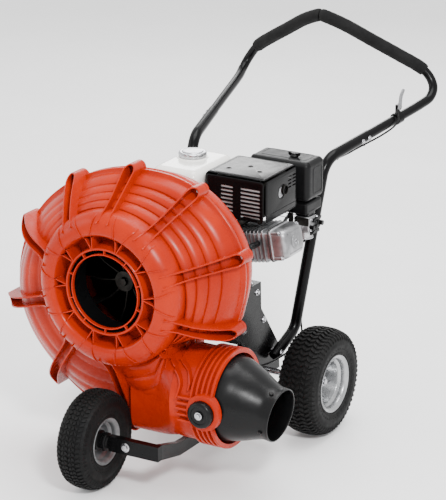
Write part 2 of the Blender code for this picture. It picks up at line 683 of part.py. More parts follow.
# ---------------------------------------------------------------- chassis
def build_engine_base():
    """Folded steel pedestal: a deck and two side plates, open underneath."""
    t = 0.005
    half = BASE_HALF
    side = [(-0.030, DECK_Z), (0.225, DECK_Z), (0.228, 0.370), (0.335, 0.225), (0.345, 0.140), (0.170, 0.140),
            (0.100, 0.300), (-0.030, 0.400)]
    base = node("engine_base", prism(side, "X", -half, half), BLACK_PAINT)
    room = [(-0.050, DECK_Z - t), (0.225 - t, DECK_Z - t), (0.223, 0.368), (0.331, 0.222), (0.360, 0.100),
            (-0.050, 0.100)]
    combine(base, helper("base_inside", prism(room, "X", t - half, half - t)), "DIFFERENCE")
    hole = rod((-0.2, AXLE_Y, REAR_TYRE_R), (0.2, AXLE_Y, REAR_TYRE_R), AXLE_R + 0.0006, 16)
    combine(base, helper("base_axle_holes", hole), "DIFFERENCE")


def build_front_arm():
    """Flat bar from the front axle out to the side, then back under the fan housing to the pedestal."""
    z = FRONT_C.z
    y = FRONT_C.y
    arm = node("front_arm", box((0.0385, y - 0.011, z - 0.0225), (0.2045, y + 0.011, z + 0.0225)),
               BLACK_PAINT)
    rail = bmesh.new()
    stations = ((0.1945, y + 0.008, z, 0.0225), (0.184, -0.300, 0.112, 0.020), (0.1765, -0.200, 0.104, 0.019),
                (0.1765, 0.215, 0.112, 0.019))
    rings = []
    for x, yy, zz, h in stations:
        rings.append([rail.verts.new((x + sx * 0.0095, yy, zz + sz * h)) for sx, sz in ((-1, -1), (1, -1),
                                                                                        (1, 1), (-1, 1))])
    for low, high in zip(rings, rings[1:]):
        for k in range(4):
            j = (k + 1) % 4
            rail.faces.new((low[k], low[j], high[j], high[k]))
    rail.faces.new(rings[0])
    rail.faces.new(rings[-1])
    combine(arm, helper("front_rail", rail), "UNION")
    hole = rod(FRONT_C, FRONT_C + X * 0.082, FRONT_AXLE_R + 0.0005, 14)
    combine(arm, helper("front_axle_socket", hole), "DIFFERENCE")
    node("front_arm_bolt", rod((0.095, y - 0.011 - GAP, z), (0.095, y - 0.019, z), 0.0105, 6), ZINC)


def bow_point(y):
    """A point on the straight side tube at the given y, on the +X side."""
    return LEG_BEND.lerp(BOW_CORNER, (y - LEG_BEND.y) / (BOW_CORNER.y - LEG_BEND.y))


def mirrored(path):
    return [Vector((-p.x, p.y, p.z)) for p in path]


def bow_path():
    half = [bow_point(SLEEVE_Y - 0.055), bow_point(0.80), bow_point(0.950), Vector((0.341, 1.003, 0.869)),
            Vector((0.333, 1.031, 0.902)), Vector((0.2985, 1.0295, 0.9450)), Vector((0.226, 0.995, 0.992)),
            Vector((0.152, 0.961, 1.036)), Vector((0.075, 0.926, 1.082)), Vector((0.014, 0.9030, 1.1090)),
            Vector((0.0, 0.902, 1.110))]
    path = smooth_path(half + mirrored(half[:-1])[::-1], 2)
    return path


def hollow_sweep(path, radius, bore, sides):
    """A tube along a path, made by joining an outer and an inner skin with ring ends."""
    bm = bmesh.new()
    skins = []
    for r in (radius, bore):
        part = sweep(path, r, sides)
        caps = [face for face in part.faces if len(face.verts) > 4]
        bmesh.ops.delete(part, geom=caps, context="FACES_ONLY")
        mesh = bpy.data.meshes.new("skin")
        part.to_mesh(mesh)
        part.free()
        first = len(bm.verts)
        bm.from_mesh(mesh)
        bpy.data.meshes.remove(mesh)
        bm.verts.ensure_lookup_table()
        skins.append(bm.verts[first:])
    for start in (0, len(path) * sides - sides):
        for k in range(sides):
            j = (k + 1) % sides
            bm.faces.new((skins[0][start + k], skins[0][start + j], skins[1][start + j], skins[1][start + k]))
    return bm


def build_handle():
    path = bow_path()
    bow = node("handle_bow", sweep(path, BOW_R, 10), BLACK_PAINT)
    bow.data.shade_smooth()
    sockets = helper("leg_sockets", sweep(path, BOW_R + 0.0004, 10))
    bends = [(0.184, 0.272, 0.203), (0.197, 0.380, 0.262), LEG_BEND, bow_point(SLEEVE_Y)]
    leg = rounded_path(bends, (0.060, 0.075), 4)
    for word, points in (("right", leg), ("left", mirrored(leg))):
        obj = node(f"handle_leg_{word}", sweep(points, LEG_R, 12), BLACK_PAINT)
        combine(obj, sockets, "DIFFERENCE")
    grip = [p for p in path if 0.005 < p.x < 0.305 and p.z > 0.93]
    grip.append(grip[-1].lerp(path[len(path) // 2], 0.55))
    for word, points in (("right", grip), ("left", mirrored(grip))):
        node(f"foam_grip_{word}", hollow_sweep(points, FOAM_R, (BOW_R + 0.0016) / math.cos(math.pi / 10),
                                               10), FOAM)


def build_aim_control():
    """Lever on the right-hand side tube, and the cable that runs from it to the nozzle's arm."""
    seat = bow_point(LEVER_Y)
    along = (BOW_CORNER - LEG_BEND).normalized()
    ring = [(BOW_R + 0.0006, -0.014), (BOW_R + 0.0046, -0.014), (BOW_R + 0.0046, 0.014),
            (BOW_R + 0.0006, 0.014)]
    bracket = node("lever_bracket", lathe(ring, axis=along, origin=seat, steps=16), BLACK_PAINT)
    lug = box(seat + Vector((-0.004, -0.010, BOW_R + 0.003)), seat + Vector((0.004, 0.010, BOW_R + 0.030)))
    combine(bracket, helper("lever_lug", lug), "UNION")
    pin = seat + Z * (BOW_R + 0.022)
    combine(bracket, helper("lever_hole", rod(pin - X * 0.01, pin + X * 0.01, 0.0036, 12)), "DIFFERENCE")
    y, z = pin.y, pin.z
    outline = [(y - 0.010, z - 0.006), (y + 0.006, z - 0.008), (y + 0.012, z + 0.030), (y + 0.026, z + 0.046),
               (y + 0.018, z + 0.053), (y - 0.001, z + 0.038), (y - 0.009, z + 0.006)]
    lever = node("aim_lever", prism(outline, "X", pin.x + 0.0045, pin.x + 0.0105), LEVER_GREY, pivot=pin)
    combine(lever, helper("lever_pin", rod(pin - X * 0.007, pin + X * 0.006, 0.0030, 12)), "UNION")
    under = BOW_R + 0.0050
    route = [pin + Vector((0.0075, -0.016, -0.004)), bow_point(LEVER_Y - 0.035) + Vector((0.024, 0, 0.002)),
             bow_point(LEVER_Y - 0.085) + Vector((0.010, 0, -under)), bow_point(0.62) - Z * (LEG_R + 0.0050),
             Vector((0.2350, 0.5260, 0.7480)), Vector((0.2222, 0.4860, 0.6200)), Vector((0.2063, 0.4350,
                                                                                         0.4000)),
             Vector((0.2010, 0.4140, 0.2950)), Vector((0.2140, 0.3900, 0.2280)), Vector((0.2140, 0.3050,
                                                                                         0.2120)),
             Vector((0.2000, 0.2000, 0.2070)), Vector((0.1880, 0.1000, 0.2280)), Vector((0.1950, 0.0000,
                                                                                         0.2800)),
             Vector((0.2350, -0.0420, 0.3350)), Vector((0.2600, -0.0460, 0.3620))]
    curve = bpy.data.curves.new("aim_cable", "CURVE")
    curve.dimensions = "3D"
    curve.bevel_depth = CABLE_R
    curve.bevel_resolution = 1
    curve.use_fill_caps = True
    spline = curve.splines.new("POLY")
    points = smooth_path(route, 2)
    spline.points.add(len(points) - 1)
    for place, point in zip(spline.points, points):
        place.co = (*(point + FRAME_SHIFT), 1.0)
    curve.materials.append(BLACK_MOULDING)
    cable = bpy.data.objects.new("aim_cable", curve)
    bpy.context.scene.collection.objects.link(cable)


# ---------------------------------------------------------------- engine
def tilted(bm):
    """Turns a block drawn along +X at the crankshaft up to the cylinder's tilt."""
    turn = Matrix.Translation((0, 0, CRANK_Z)) @ Matrix.Rotation(-math.radians(CYL_TILT_DEG), 4, "Y")
    bmesh.ops.transform(bm, matrix=turn, verts=bm.verts)
    return bm


def build_engine_block():
    (x0, y0, z0), (x1, y1, z1) = CRANKCASE
    case = node("crankcase", box((x0, y0, z0), (x1, y1, z1)), ALLOY)
    soften(case, 0.012, 2)
    boss = lathe([(0.074, BACK_Y + GAP), (0.074, -0.070), (0.090, -0.030)], axis=Y, origin=(0, 0, CRANK_Z),
                 steps=24,
                 closed=False)
    combine(case, helper("crankcase_boss", boss), "UNION")
    bore = rod((0, -0.2, CRANK_Z), (0, 0.25, CRANK_Z), SHAFT_R + 0.0004, 20)
    combine(case, helper("crankcase_bore", bore), "DIFFERENCE")
    fins = 6
    first, last = 0.148, 0.285
    pitch = (last - first) / fins
    upper = []
    for i in range(fins):
        a = first + pitch * i
        upper += [(a, 0.050), (a + 0.45 * pitch, 0.050), (a + 0.55 * pitch, 0.042), (a + 0.95 * pitch, 0.042)]
    upper.append((last, 0.050))
    outline = upper + [(a, -b) for a, b in upper[::-1]]
    y0, y1 = CYLINDER_Y
    node("cylinder_block", tilted(prism(outline, "Y", y0, y1)), ALLOY)
    flat = rounded_outline((y0 + 0.001, -0.049), (y1 - 0.001, 0.049), 0.016, 2)
    node("valve_cover_gasket", tilted(prism(flat, "X", last + GAP, last + 0.0034)), GASKET)
    cover = node("valve_cover", tilted(prism(flat, "X", last + 0.0038, last + 0.056)), ALLOY)
    soften(cover, 0.008, 2, 50)
    bends = [(0.245, y0 - GAP, 0.640), (0.245, y0 - 0.034, 0.640), (0.217, y0 - 0.046, 0.626)]
    boot = sweep(rounded_path(bends, (0.014,), 3), 0.009, 10)
    node("spark_plug_boot", boot, BLACK_MOULDING)


def build_exhaust():
    (x0, y0, z0), (x1, y1, z1) = MUFFLER
    guard = node("muffler_guard", box(MUFFLER[0], MUFFLER[1]), BLACK_PAINT)
    soften(guard, 0.008, 2)
    wall = 0.0025
    combine(guard, helper("guard_inside", box((x0 + wall, y0 + wall, z0 - 0.02), (x1 - wall, y1 - wall,
                                                                                  z1 - wall))),
            "DIFFERENCE")
    slots = bmesh.new()
    for column in ((x0 + 0.050, x0 + 0.086), (x0 + 0.104, x0 + 0.168)):
        for row in range(8):
            z = z1 - 0.030 - 0.0115 * row
            add_box(slots, (column[0], y0 - 0.01, z - 0.0022), (column[1], y0 + 0.01, z + 0.0022))
    combine(guard, helper("guard_slots", slots), "DIFFERENCE")
    outlet = Vector((x1, 0.176, 0.776))
    combine(guard, helper("guard_outlet_hole", rod(outlet - X * 0.02, outlet + X * 0.01, 0.0195, 16)),
            "DIFFERENCE")
    muffler = node("muffler", box((x0 + 0.014, y0 + 0.014, z0 + 0.012), (x1 - 0.016, y1 - 0.014,
                                                                         z1 - 0.014)), DARK_STEEL)
    soften(muffler, 0.016, 1)
    pipe = lathe([(0.013, 0.0), (0.013, 0.024), (0.016, 0.024), (0.016, -0.004), (0.0, -0.004), (0.0, 0.0)],
                 axis=X,
                 origin=outlet - X * 0.018, steps=16)
    combine(muffler, helper("exhaust_pipe", pipe), "UNION")


def build_air_intake():
    (x0, y0, z0), (x1, y1, z1) = CLEANER
    seam = z0 + 0.032
    base = node("air_cleaner_base", box((x0 + 0.006, y0 + 0.004, z0), (x1 - 0.006, y1 - 0.004, seam)),
                CLEANER_BLACK)
    soften(base, 0.006, 1)
    neck = box((0.238, y0 + 0.016, 0.6554), (0.280, y0 + 0.062, z0 + 0.004))
    combine(base, helper("intake_neck", neck), "UNION")
    cover = node("air_cleaner_cover", box((x0, y0, seam + GAP), (x1, y1, z1)), CLEANER_BLACK)
    soften(cover, 0.014, 3)
    room = box((x0 + 0.004, y0 + 0.004, seam - 0.01), (x1 - 0.004, y1 - 0.004, z1 - 0.016))
    combine(cover, helper("cover_inside", room), "DIFFERENCE")
    node("air_filter", box((x0 + 0.020, y0 + 0.018, seam + GAP), (x1 - 0.020, y1 - 0.018, z1 - 0.026)), FOAM)
    knob = Vector((x1 - 0.073, (y0 + y1) / 2 - 0.004, z1 + GAP))
    turned = lathe([(0.011, 0), (0.011, 0.005), (0.006, 0.009)], axis=Z, origin=knob, steps=12, closed=False)
    wing = node("air_cleaner_knob", turned, BLACK_MOULDING, pivot=knob)
    wings = box(knob + Vector((-0.019, -0.0035, 0.003)), knob + Vector((0.019, 0.0035, 0.014)))
    combine(wing, helper("knob_wings", wings), "UNION")
    body = node("carburettor", box((0.234, y0 + 0.012, 0.606), (0.288, y0 + 0.066, 0.655)), ALLOY)
    soften(body, 0.005, 1)
    combine(body, helper("float_bowl", rod((0.261, 0.324, 0.586), (0.261, 0.324, 0.612), 0.022, 16)), "UNION")
    port = rod((0.254, CYLINDER_Y[1] + GAP, 0.630), (0.254, y0 + 0.020, 0.630), 0.014, 12)
    combine(body, helper("intake_port", port), "UNION")
    for name, z, reach in (("choke_lever", 0.642, 0.036), ("fuel_valve_lever", 0.618, 0.032)):
        pin = Vector((0.2884, 0.322, z))
        arm = prism([(pin.y - 0.006, z - 0.004), (pin.y + reach, z - 0.003), (pin.y + reach + 0.006,
                                                                              z + 0.004),
                     (pin.y + reach, z + 0.009), (pin.y - 0.006, z + 0.004)], "X", pin.x, pin.x + 0.006)
        node(name, arm, BLACK_MOULDING, pivot=pin)


def build_fuel_system():
    (x0, y0, z0), (x1, y1, z1) = TANK
    tank = node("fuel_tank", box(TANK[0], TANK[1]), TANK_WHITE)
    soften(tank, 0.026, 3)
    wall = 0.004
    hollow = helper("tank_inside", box((x0 + wall, y0 + wall, z0 + wall), (x1 - wall, y1 - wall, z1 - wall)))
    soften(hollow, 0.022, 2)
    combine(tank, hollow, "DIFFERENCE")
    neck = Vector((FUEL_CAP.x, FUEL_CAP.y, z1))
    combine(tank, helper("filler_hole", rod(neck - Z * 0.02, neck + Z * 0.02, 0.024, 16)), "DIFFERENCE")
    cap = [(0.022, -0.012), (0.022, GAP), (FUEL_CAP_R, GAP), (FUEL_CAP_R, 0.018), (FUEL_CAP_R - 0.006, 0.024)]
    node("fuel_cap", lathe(cap, axis=Z, origin=neck, steps=20, closed=False), ZINC, pivot=neck)


def build_cooling_and_starter():
    axis = (0, 0, CRANK_Z)
    r = SHROUD_R
    shroud = [(r, 0.2006), (r, 0.290), (r - 0.012, 0.302), (0.070, 0.302), (0.070, 0.299), (r - 0.014, 0.299),
              (r - 0.003, 0.288), (r - 0.003, 0.2006)]
    node("fan_shroud", lathe(shroud, axis=Y, origin=axis, steps=20), BLACK_MOULDING)
    cover = [(0.0, 0.352), (0.070, 0.352), (0.100, 0.336), (0.104, 0.3025), (0.101, 0.3025), (0.097, 0.334),
             (0.069, 0.349), (0.0, 0.349)]
    node("recoil_cover", lathe(cover, axis=Y, origin=axis, steps=20), BLACK_MOULDING)
    node("recoil_pulley", lathe([(0.0, 0.318), (0.062, 0.318), (0.054, 0.322), (0.054, 0.328), (0.062, 0.332),
                                 (0.0, 0.332)], axis=Y, origin=axis, steps=16), LEVER_GREY, pivot=axis)
    grip = Vector((-0.078, 0.366, 0.662))
    handle = node("recoil_grip", sweep([grip - X * 0.034, grip - X * 0.026, grip + X * 0.026,
                                        grip + X * 0.034], 0.0085, 10),
                  BLACK_MOULDING, pivot=grip)
    stem = rod(grip, grip - Y * 0.020, 0.005, 10)
    combine(handle, helper("grip_stem", stem), "UNION")
    x = CRANKCASE[0][0]
    node("switch_box", box((x - 0.034, 0.060, 0.560), (x - GAP, 0.125, 0.640)), BLACK_MOULDING)
    soften(bpy.data.objects["switch_box"], 0.004, 1)
    knob = Vector((x - 0.034 - GAP, 0.0925, 0.605))
    switch = node("engine_switch", rod(knob, knob - X * 0.006, 0.014, 16), LEVER_GREY, pivot=knob)
    bar = box(knob + Vector((-0.014, -0.003, -0.013)), knob + Vector((-0.003, 0.003, 0.013)))
    combine(switch, helper("switch_bar", bar), "UNION")
    cap = Vector((x - GAP, 0.020, 0.500))
    turned = [(0.017, 0), (0.017, 0.008), (0.011, 0.010), (0.009, 0.022)]
    node("oil_filler_cap", lathe(turned, axis=-X, origin=cap, steps=14, closed=False), LEVER_GREY, pivot=cap)
    node("oil_drain_plug", rod((x - GAP, 0.120, 0.476), (x - 0.011, 0.120, 0.476), 0.010, 6), ZINC)
    pin = Vector((0.078, 0.318, 0.6960))
    plan = [(pin.x - 0.006, pin.y - 0.006), (pin.x + 0.006, pin.y - 0.006), (pin.x + 0.005, pin.y + 0.044),
            (pin.x - 0.005, pin.y + 0.044)]
    arm = prism(plan, "Z", pin.z, pin.z + 0.005)
    node("throttle_lever", arm, BLACK_MOULDING, pivot=pin)


build_housing()
build_inlet_ring()
build_collar()
build_nozzle()
build_rotor()
build_rear_wheels()
build_front_wheel()
build_engine_base()
build_front_arm()
build_handle()
build_aim_control()
build_engine_block()
build_exhaust()
build_air_intake()
build_fuel_system()
build_cooling_and_starter()
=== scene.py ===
"""Walk-behind leaf blower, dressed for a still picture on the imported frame.

Shapes are drawn round the crankshaft: x = 0 and y = 0 on its axis, z = 0 on the floor, the intake facing -Y,
the outlet +X and the operator +Y. SHIFT moves them into the row frame.
"""
import json
import math

import bmesh
import bpy
from mathutils import Matrix, Vector


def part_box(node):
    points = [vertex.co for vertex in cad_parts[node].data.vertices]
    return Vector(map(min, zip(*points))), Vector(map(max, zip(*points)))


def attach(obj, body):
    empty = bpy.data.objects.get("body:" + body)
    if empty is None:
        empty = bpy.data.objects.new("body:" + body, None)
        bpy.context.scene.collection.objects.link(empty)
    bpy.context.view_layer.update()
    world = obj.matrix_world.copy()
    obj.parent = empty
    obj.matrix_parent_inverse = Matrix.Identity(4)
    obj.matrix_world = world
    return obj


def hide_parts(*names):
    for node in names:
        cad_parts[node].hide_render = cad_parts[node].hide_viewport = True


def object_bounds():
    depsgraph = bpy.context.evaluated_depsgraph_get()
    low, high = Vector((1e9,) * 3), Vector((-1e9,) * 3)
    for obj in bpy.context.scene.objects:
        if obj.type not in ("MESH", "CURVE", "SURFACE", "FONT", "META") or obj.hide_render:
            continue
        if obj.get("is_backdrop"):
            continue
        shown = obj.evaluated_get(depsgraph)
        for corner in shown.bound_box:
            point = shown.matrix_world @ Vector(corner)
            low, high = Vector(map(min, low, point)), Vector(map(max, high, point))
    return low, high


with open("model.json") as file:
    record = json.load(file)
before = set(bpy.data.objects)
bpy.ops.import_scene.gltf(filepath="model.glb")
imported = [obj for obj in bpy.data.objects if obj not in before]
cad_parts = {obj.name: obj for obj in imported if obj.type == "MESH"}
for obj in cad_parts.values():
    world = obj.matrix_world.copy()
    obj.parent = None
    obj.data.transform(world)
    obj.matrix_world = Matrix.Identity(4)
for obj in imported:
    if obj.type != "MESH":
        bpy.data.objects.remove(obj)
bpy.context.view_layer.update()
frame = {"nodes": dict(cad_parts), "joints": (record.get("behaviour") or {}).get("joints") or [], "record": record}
JOINT = {j["name"]: Vector(j["pos_m"]) for j in frame["joints"] if "pos_m" in j}
SLOT = {part["node"]: part["material_slot"] for part in frame["record"]["subparts"]}
CRANK_Z = 0.585
SHIFT = JOINT["crankshaft_spin"] - Vector((0, 0, CRANK_Z))
X, Y, Z = Vector((1, 0, 0)), Vector((0, 1, 0)), Vector((0, 0, 1))
CRANK = Z * CRANK_Z


def local(name):
    """A joint's place in the drawing's own coordinates."""
    return JOINT[name] - SHIFT


def node_box(name):
    """A node's lowest and highest corners in the drawing's own coordinates."""
    low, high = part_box(name)
    return low - SHIFT, high - SHIFT


# ---------------------------------------------------------------- materials
def ramp(tree, source, stops):
    """A colour ramp over the source value; stops are (place, colour)."""
    node = tree.nodes.new("ShaderNodeValToRGB")
    node.color_ramp.interpolation = "EASE"
    elements = node.color_ramp.elements
    elements[0].position, elements[0].color = stops[0][0], (*stops[0][1], 1.0)
    elements[1].position, elements[1].color = stops[-1][0], (*stops[-1][1], 1.0)
    for place, color in stops[1:-1]:
        elements.new(place).color = (*color, 1.0)
    tree.links.new(source, node.inputs["Fac"])
    return node.outputs["Color"]


def noise(tree, place, scale, detail=3.0, rough=0.55):
    """Noise value over the object's own space."""
    node = tree.nodes.new("ShaderNodeTexNoise")
    node.inputs["Scale"].default_value = scale
    node.inputs["Detail"].default_value = detail
    node.inputs["Roughness"].default_value = rough
    tree.links.new(place, node.inputs["Vector"])
    return node.outputs["Fac"]


def spread(tree, source, low, high):
    """Maps the middle of a noise value to a range."""
    node = tree.nodes.new("ShaderNodeMapRange")
    node.inputs["From Min"].default_value = 0.3
    node.inputs["From Max"].default_value = 0.7
    node.inputs["To Min"].default_value = low
    node.inputs["To Max"].default_value = high
    tree.links.new(source, node.inputs["Value"])
    return node.outputs["Result"]


def finish(name, dark, light, rough, metallic=0.0, grain=(900.0, 0.0002), patch=7.0, coat=0.0, specular=0.5,
           wave=None, squeeze=(1.0, 1.0, 1.0)):
    """A finish with a colour that drifts in patches, a mottled roughness and a fine grain."""
    mat = bpy.data.materials.new(name)
    mat.use_nodes = True
    tree = mat.node_tree
    shader = tree.nodes["Principled BSDF"]
    place = tree.nodes.new("ShaderNodeTexCoord").outputs["Object"]
    stretch = tree.nodes.new("ShaderNodeMapping")
    stretch.inputs["Scale"].default_value = squeeze
    tree.links.new(place, stretch.inputs["Vector"])
    place = stretch.outputs["Vector"]
    tree.links.new(ramp(tree, noise(tree, place, patch, 5.0), [(0.35, dark), (0.65, light)]),
                   shader.inputs["Base Color"])
    tree.links.new(spread(tree, noise(tree, place, patch * 6, 4.0), rough[0], rough[1]),
                   shader.inputs["Roughness"])
    shader.inputs["Metallic"].default_value = metallic
    shader.inputs["Specular IOR Level"].default_value = specular
    shader.inputs["Coat Weight"].default_value = coat
    shader.inputs["Coat Roughness"].default_value = 0.12
    bump = tree.nodes.new("ShaderNodeBump")
    bump.inputs["Distance"].default_value = grain[1]
    bump.inputs["Strength"].default_value = 0.6
    tree.links.new(noise(tree, place, grain[0], 2.0), bump.inputs["Height"])
    normal = bump.outputs["Normal"]
    if wave:
        second = tree.nodes.new("ShaderNodeBump")
        second.inputs["Distance"].default_value = wave[1]
        second.inputs["Strength"].default_value = 0.5
        tree.links.new(noise(tree, place, wave[0], 1.0), second.inputs["Height"])
        tree.links.new(normal, second.inputs["Normal"])
        normal = second.outputs["Normal"]
    tree.links.new(normal, shader.inputs["Normal"])
    return mat


LOOKS = {
    "orange_moulding": ((0.29, 0.0105, 0.0002), (0.35, 0.0148, 0.0003), (0.24, 0.32),
                        dict(grain=(1400.0, 0.00005), wave=(16.0, 0.0022), specular=0.14)),
    "black_moulding": ((0.002, 0.002, 0.0022), (0.0036, 0.0036, 0.0038), (0.26, 0.36),
                       dict(grain=(1600.0, 0.00006), specular=0.16)),
    "black_paint": ((0.0016, 0.0016, 0.0018), (0.0028, 0.0028, 0.003), (0.18, 0.28),
                    dict(grain=(700.0, 0.00006), specular=0.12)),
    # dark_steel is kept near black partly as painted shade, so the impeller deep in the intake reads black
    "dark_steel": ((0.014, 0.013, 0.012), (0.035, 0.033, 0.03), (0.4, 0.6),
                   dict(metallic=1.0, grain=(600.0, 0.00012), patch=14.0)),
    "zinc_steel": ((0.3, 0.3, 0.31), (0.48, 0.48, 0.5), (0.16, 0.3),
                   dict(metallic=1.0, grain=(1100.0, 0.00005), patch=30.0)),
    "rim_silver": ((0.25, 0.254, 0.26), (0.36, 0.364, 0.37), (0.22, 0.34),
                   dict(metallic=0.92, grain=(1500.0, 0.00006), patch=12.0, coat=0.2)),
    "rim_grey": ((0.12, 0.122, 0.125), (0.22, 0.223, 0.227), (0.32, 0.46),
                 dict(metallic=0.7, grain=(1300.0, 0.00008), patch=18.0)),
    "tyre_rubber": ((0.0014, 0.0014, 0.0015), (0.0034, 0.0033, 0.0032), (0.58, 0.76),
                    dict(grain=(800.0, 0.00018), patch=11.0, specular=0.17)),
    "foam_grip": ((0.003, 0.003, 0.0031), (0.006, 0.006, 0.006), (0.86, 0.97),
                  dict(grain=(520.0, 0.0007), patch=20.0, specular=0.2, wave=(120.0, 0.0006))),
    "cast_alloy": ((0.22, 0.22, 0.225), (0.46, 0.46, 0.47), (0.3, 0.5),
                   dict(metallic=0.95, grain=(520.0, 0.00035), patch=16.0, wave=(150.0, 0.0002))),
    "gasket": ((0.012, 0.012, 0.012), (0.022, 0.022, 0.022), (0.7, 0.85),
               dict(grain=(700.0, 0.0001))),
    "tank_white": ((0.76, 0.745, 0.7), (0.83, 0.82, 0.78), (0.16, 0.26),
                   dict(grain=(300.0, 0.00004), coat=0.5)),
    "cleaner_black": ((0.0028, 0.0028, 0.003), (0.005, 0.005, 0.0054), (0.34, 0.46),
                      dict(grain=(1500.0, 0.00016), specular=0.13)),
    # painted light: a pale sheet for behind the guard's slots, bright though it lies in the guard's shade
    "painted_light_sheet": ((0.26, 0.26, 0.26), (0.4, 0.4, 0.4), (0.3, 0.45),
                     dict(metallic=0.2, grain=(700.0, 0.0001), patch=26.0)),
    "lever_grey": ((0.17, 0.172, 0.178), (0.26, 0.262, 0.27), (0.34, 0.5),
                   dict(metallic=0.5, grain=(900.0, 0.0001))),
}
MAT = {name: finish(name, *look[:3], **look[3]) for name, look in LOOKS.items()}


# ---------------------------------------------------------------- mesh helpers
def piece(name, bm, slot, body="chassis", nodes=(), smooth_deg=35, bevel=0.0, segments=2):
    """Closes a bmesh into a shown piece that rides on a body and takes a slot's finish."""
    bmesh.ops.remove_doubles(bm, verts=bm.verts, dist=1e-6)
    bmesh.ops.recalc_face_normals(bm, faces=bm.faces)
    bmesh.ops.translate(bm, verts=bm.verts, vec=SHIFT)
    mesh = bpy.data.meshes.new(name)
    bm.to_mesh(mesh)
    bm.free()
    mesh.shade_smooth()
    mesh.set_sharp_from_angle(angle=math.radians(smooth_deg))
    mesh.materials.append(MAT[slot])
    obj = bpy.data.objects.new(name, mesh)
    bpy.context.scene.collection.objects.link(obj)
    if bevel:
        add_bevel(obj, bevel, segments)
    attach(obj, body)
    if nodes:
        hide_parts(*nodes)
    return obj


def add_bevel(obj, width, segments=2, limit=40):
    mod = obj.modifiers.new("edges", "BEVEL")
    mod.width = width
    mod.segments = segments
    mod.limit_method = "ANGLE"
    mod.angle_limit = math.radians(limit)
    mod.use_clamp_overlap = True
    mod.harden_normals = True


def merge(bm, other):
    """Adds another bmesh's faces to bm."""
    part = bpy.data.meshes.new("part")
    other.to_mesh(part)
    other.free()
    bm.from_mesh(part)
    bpy.data.meshes.remove(part)
    return bm


def skin(bm, rings, loop=False):
    """Faces between neighbouring rings of vertices, which end on caps or run back to the first ring."""
    for low, high in zip(rings, rings[1:] + rings[:1] * loop):
        for k in range(len(low)):
            j = (k + 1) % len(low)
            bm.faces.new((low[k], low[j], high[j], high[k]))
    if not loop:
        bm.faces.new(rings[0])
        bm.faces.new(rings[-1])
    return bm


def turns(count, phase=0.0):
    """Angles spaced evenly round a circle."""
    return [2 * math.pi * (k + phase) / count for k in range(count)]


def wheel_spot(turn):
    """Unit vector across the X axis."""
    return Vector((0, math.cos(turn), math.sin(turn)))


def crank_spot(turn):
    """Unit vector across the crankshaft, which lies along Y."""
    return Vector((math.cos(turn), 0, math.sin(turn)))


def frame_to(direction, origin=(0, 0, 0)):
    """Matrix whose local Z lies along direction."""
    turn = Vector(direction).normalized().to_track_quat("Z", "Y").to_matrix().to_4x4()
    return Matrix.Translation(Vector(origin)) @ turn


def add_lathe(bm, profile, axis=Z, origin=(0, 0, 0), steps=64, closed=True, start=0.0):
    """Turns (radius, height) points round an axis.

    A closed profile makes a ring, or a solid if it starts and ends on the axis. An open one ends on caps.
    """
    matrix = frame_to(axis, origin)
    rings = []
    for radius, height in profile:
        if radius < 1e-7:
            rings.append([bm.verts.new(matrix @ Vector((0, 0, height)))] * steps)
            continue
        angles = (start + 2 * math.pi * i / steps for i in range(steps))
        rings.append([bm.verts.new(matrix @ Vector((radius * math.cos(a), radius * math.sin(a),
                                                    height))) for a in angles])
    pairs = list(zip(rings, rings[1:]))
    if closed:
        pairs.append((rings[-1], rings[0]))
    for low, high in pairs:
        for i in range(steps):
            j = (i + 1) % steps
            corners = list(dict.fromkeys((low[i], low[j], high[j], high[i])))
            if len(corners) > 2:
                bm.faces.new(corners)
    if not closed:
        for ring in (rings[0], rings[-1]):
            if ring[0] is not ring[1]:
                bm.faces.new(ring)
    return bm


def to_axis(*points):
    """The profile of a solid turned part: its outside points, closed on the axis at both ends."""
    return [(0.0, points[0][1]), *points, (0.0, points[-1][1])]


def lathe(profile, *options):
    return add_lathe(bmesh.new(), profile, *options)


def add_rod(bm, start, end, radius, steps=24, spin=0.0):
    start = Vector(start)
    length = (Vector(end) - start).length
    return add_lathe(bm, [(radius, 0), (radius, length)], axis=Vector(end) - start, origin=start, steps=steps,
                     closed=False, start=spin)


def rod(start, end, radius, steps=24, spin=0.0):
    return add_rod(bmesh.new(), start, end, radius, steps, spin)


def bolt(bm, place, axis, size=0.0075, height=0.005, washer=True):
    """Hexagon head on a washer."""
    axis = Vector(axis).normalized()
    place = Vector(place)
    if washer:
        add_lathe(bm, to_axis((size * 1.45, 0), (size * 1.45, 0.0012), (size * 1.38, 0.0016)), axis, place,
                  32)
    top = 0.0014 + height
    add_lathe(bm, to_axis((size, 0.0014), (size, top - 0.0008), (size * 0.9, top)), axis, place, 6)
    return bm


def add_box(bm, low, high):
    low, high = Vector(low), Vector(high)
    verts = [bm.verts.new((x, y, z)) for x in (low.x, high.x) for y in (low.y, high.y)
             for z in (low.z, high.z)]
    for corners in ((0, 1, 3, 2), (4, 6, 7, 5), (0, 4, 5, 1), (2, 3, 7, 6), (0, 2, 6, 4), (1, 5, 7, 3)):
        bm.faces.new([verts[i] for i in corners])
    return bm


def box(low, high):
    return add_box(bmesh.new(), low, high)


def flat_points(outline, axis, depth):
    """The outline's points in space, at a depth along X, Y or Z."""
    return [{"X": (depth, a, b), "Y": (a, depth, b), "Z": (a, b, depth)}[axis] for a, b in outline]


def add_prism(bm, outline, axis, start, end):
    """A flat outline pushed along X, Y or Z."""
    return skin(bm, [[bm.verts.new(p) for p in flat_points(outline, axis, depth)] for depth in (start, end)])


def prism(outline, axis, start, end):
    return add_prism(bmesh.new(), outline, axis, start, end)


def rounded_outline(low, high, radius, steps=6):
    """A rectangle with round corners."""
    points = []
    corners = ((high[0] - radius, high[1] - radius, 0), (low[0] + radius, high[1] - radius, 90),
               (low[0] + radius, low[1] + radius, 180), (high[0] - radius, low[1] + radius, 270))
    for cx, cy, first in corners:
        for k in range(steps + 1):
            angle = math.radians(first + 90 * k / steps)
            points.append((cx + radius * math.cos(angle), cy + radius * math.sin(angle)))
    return points


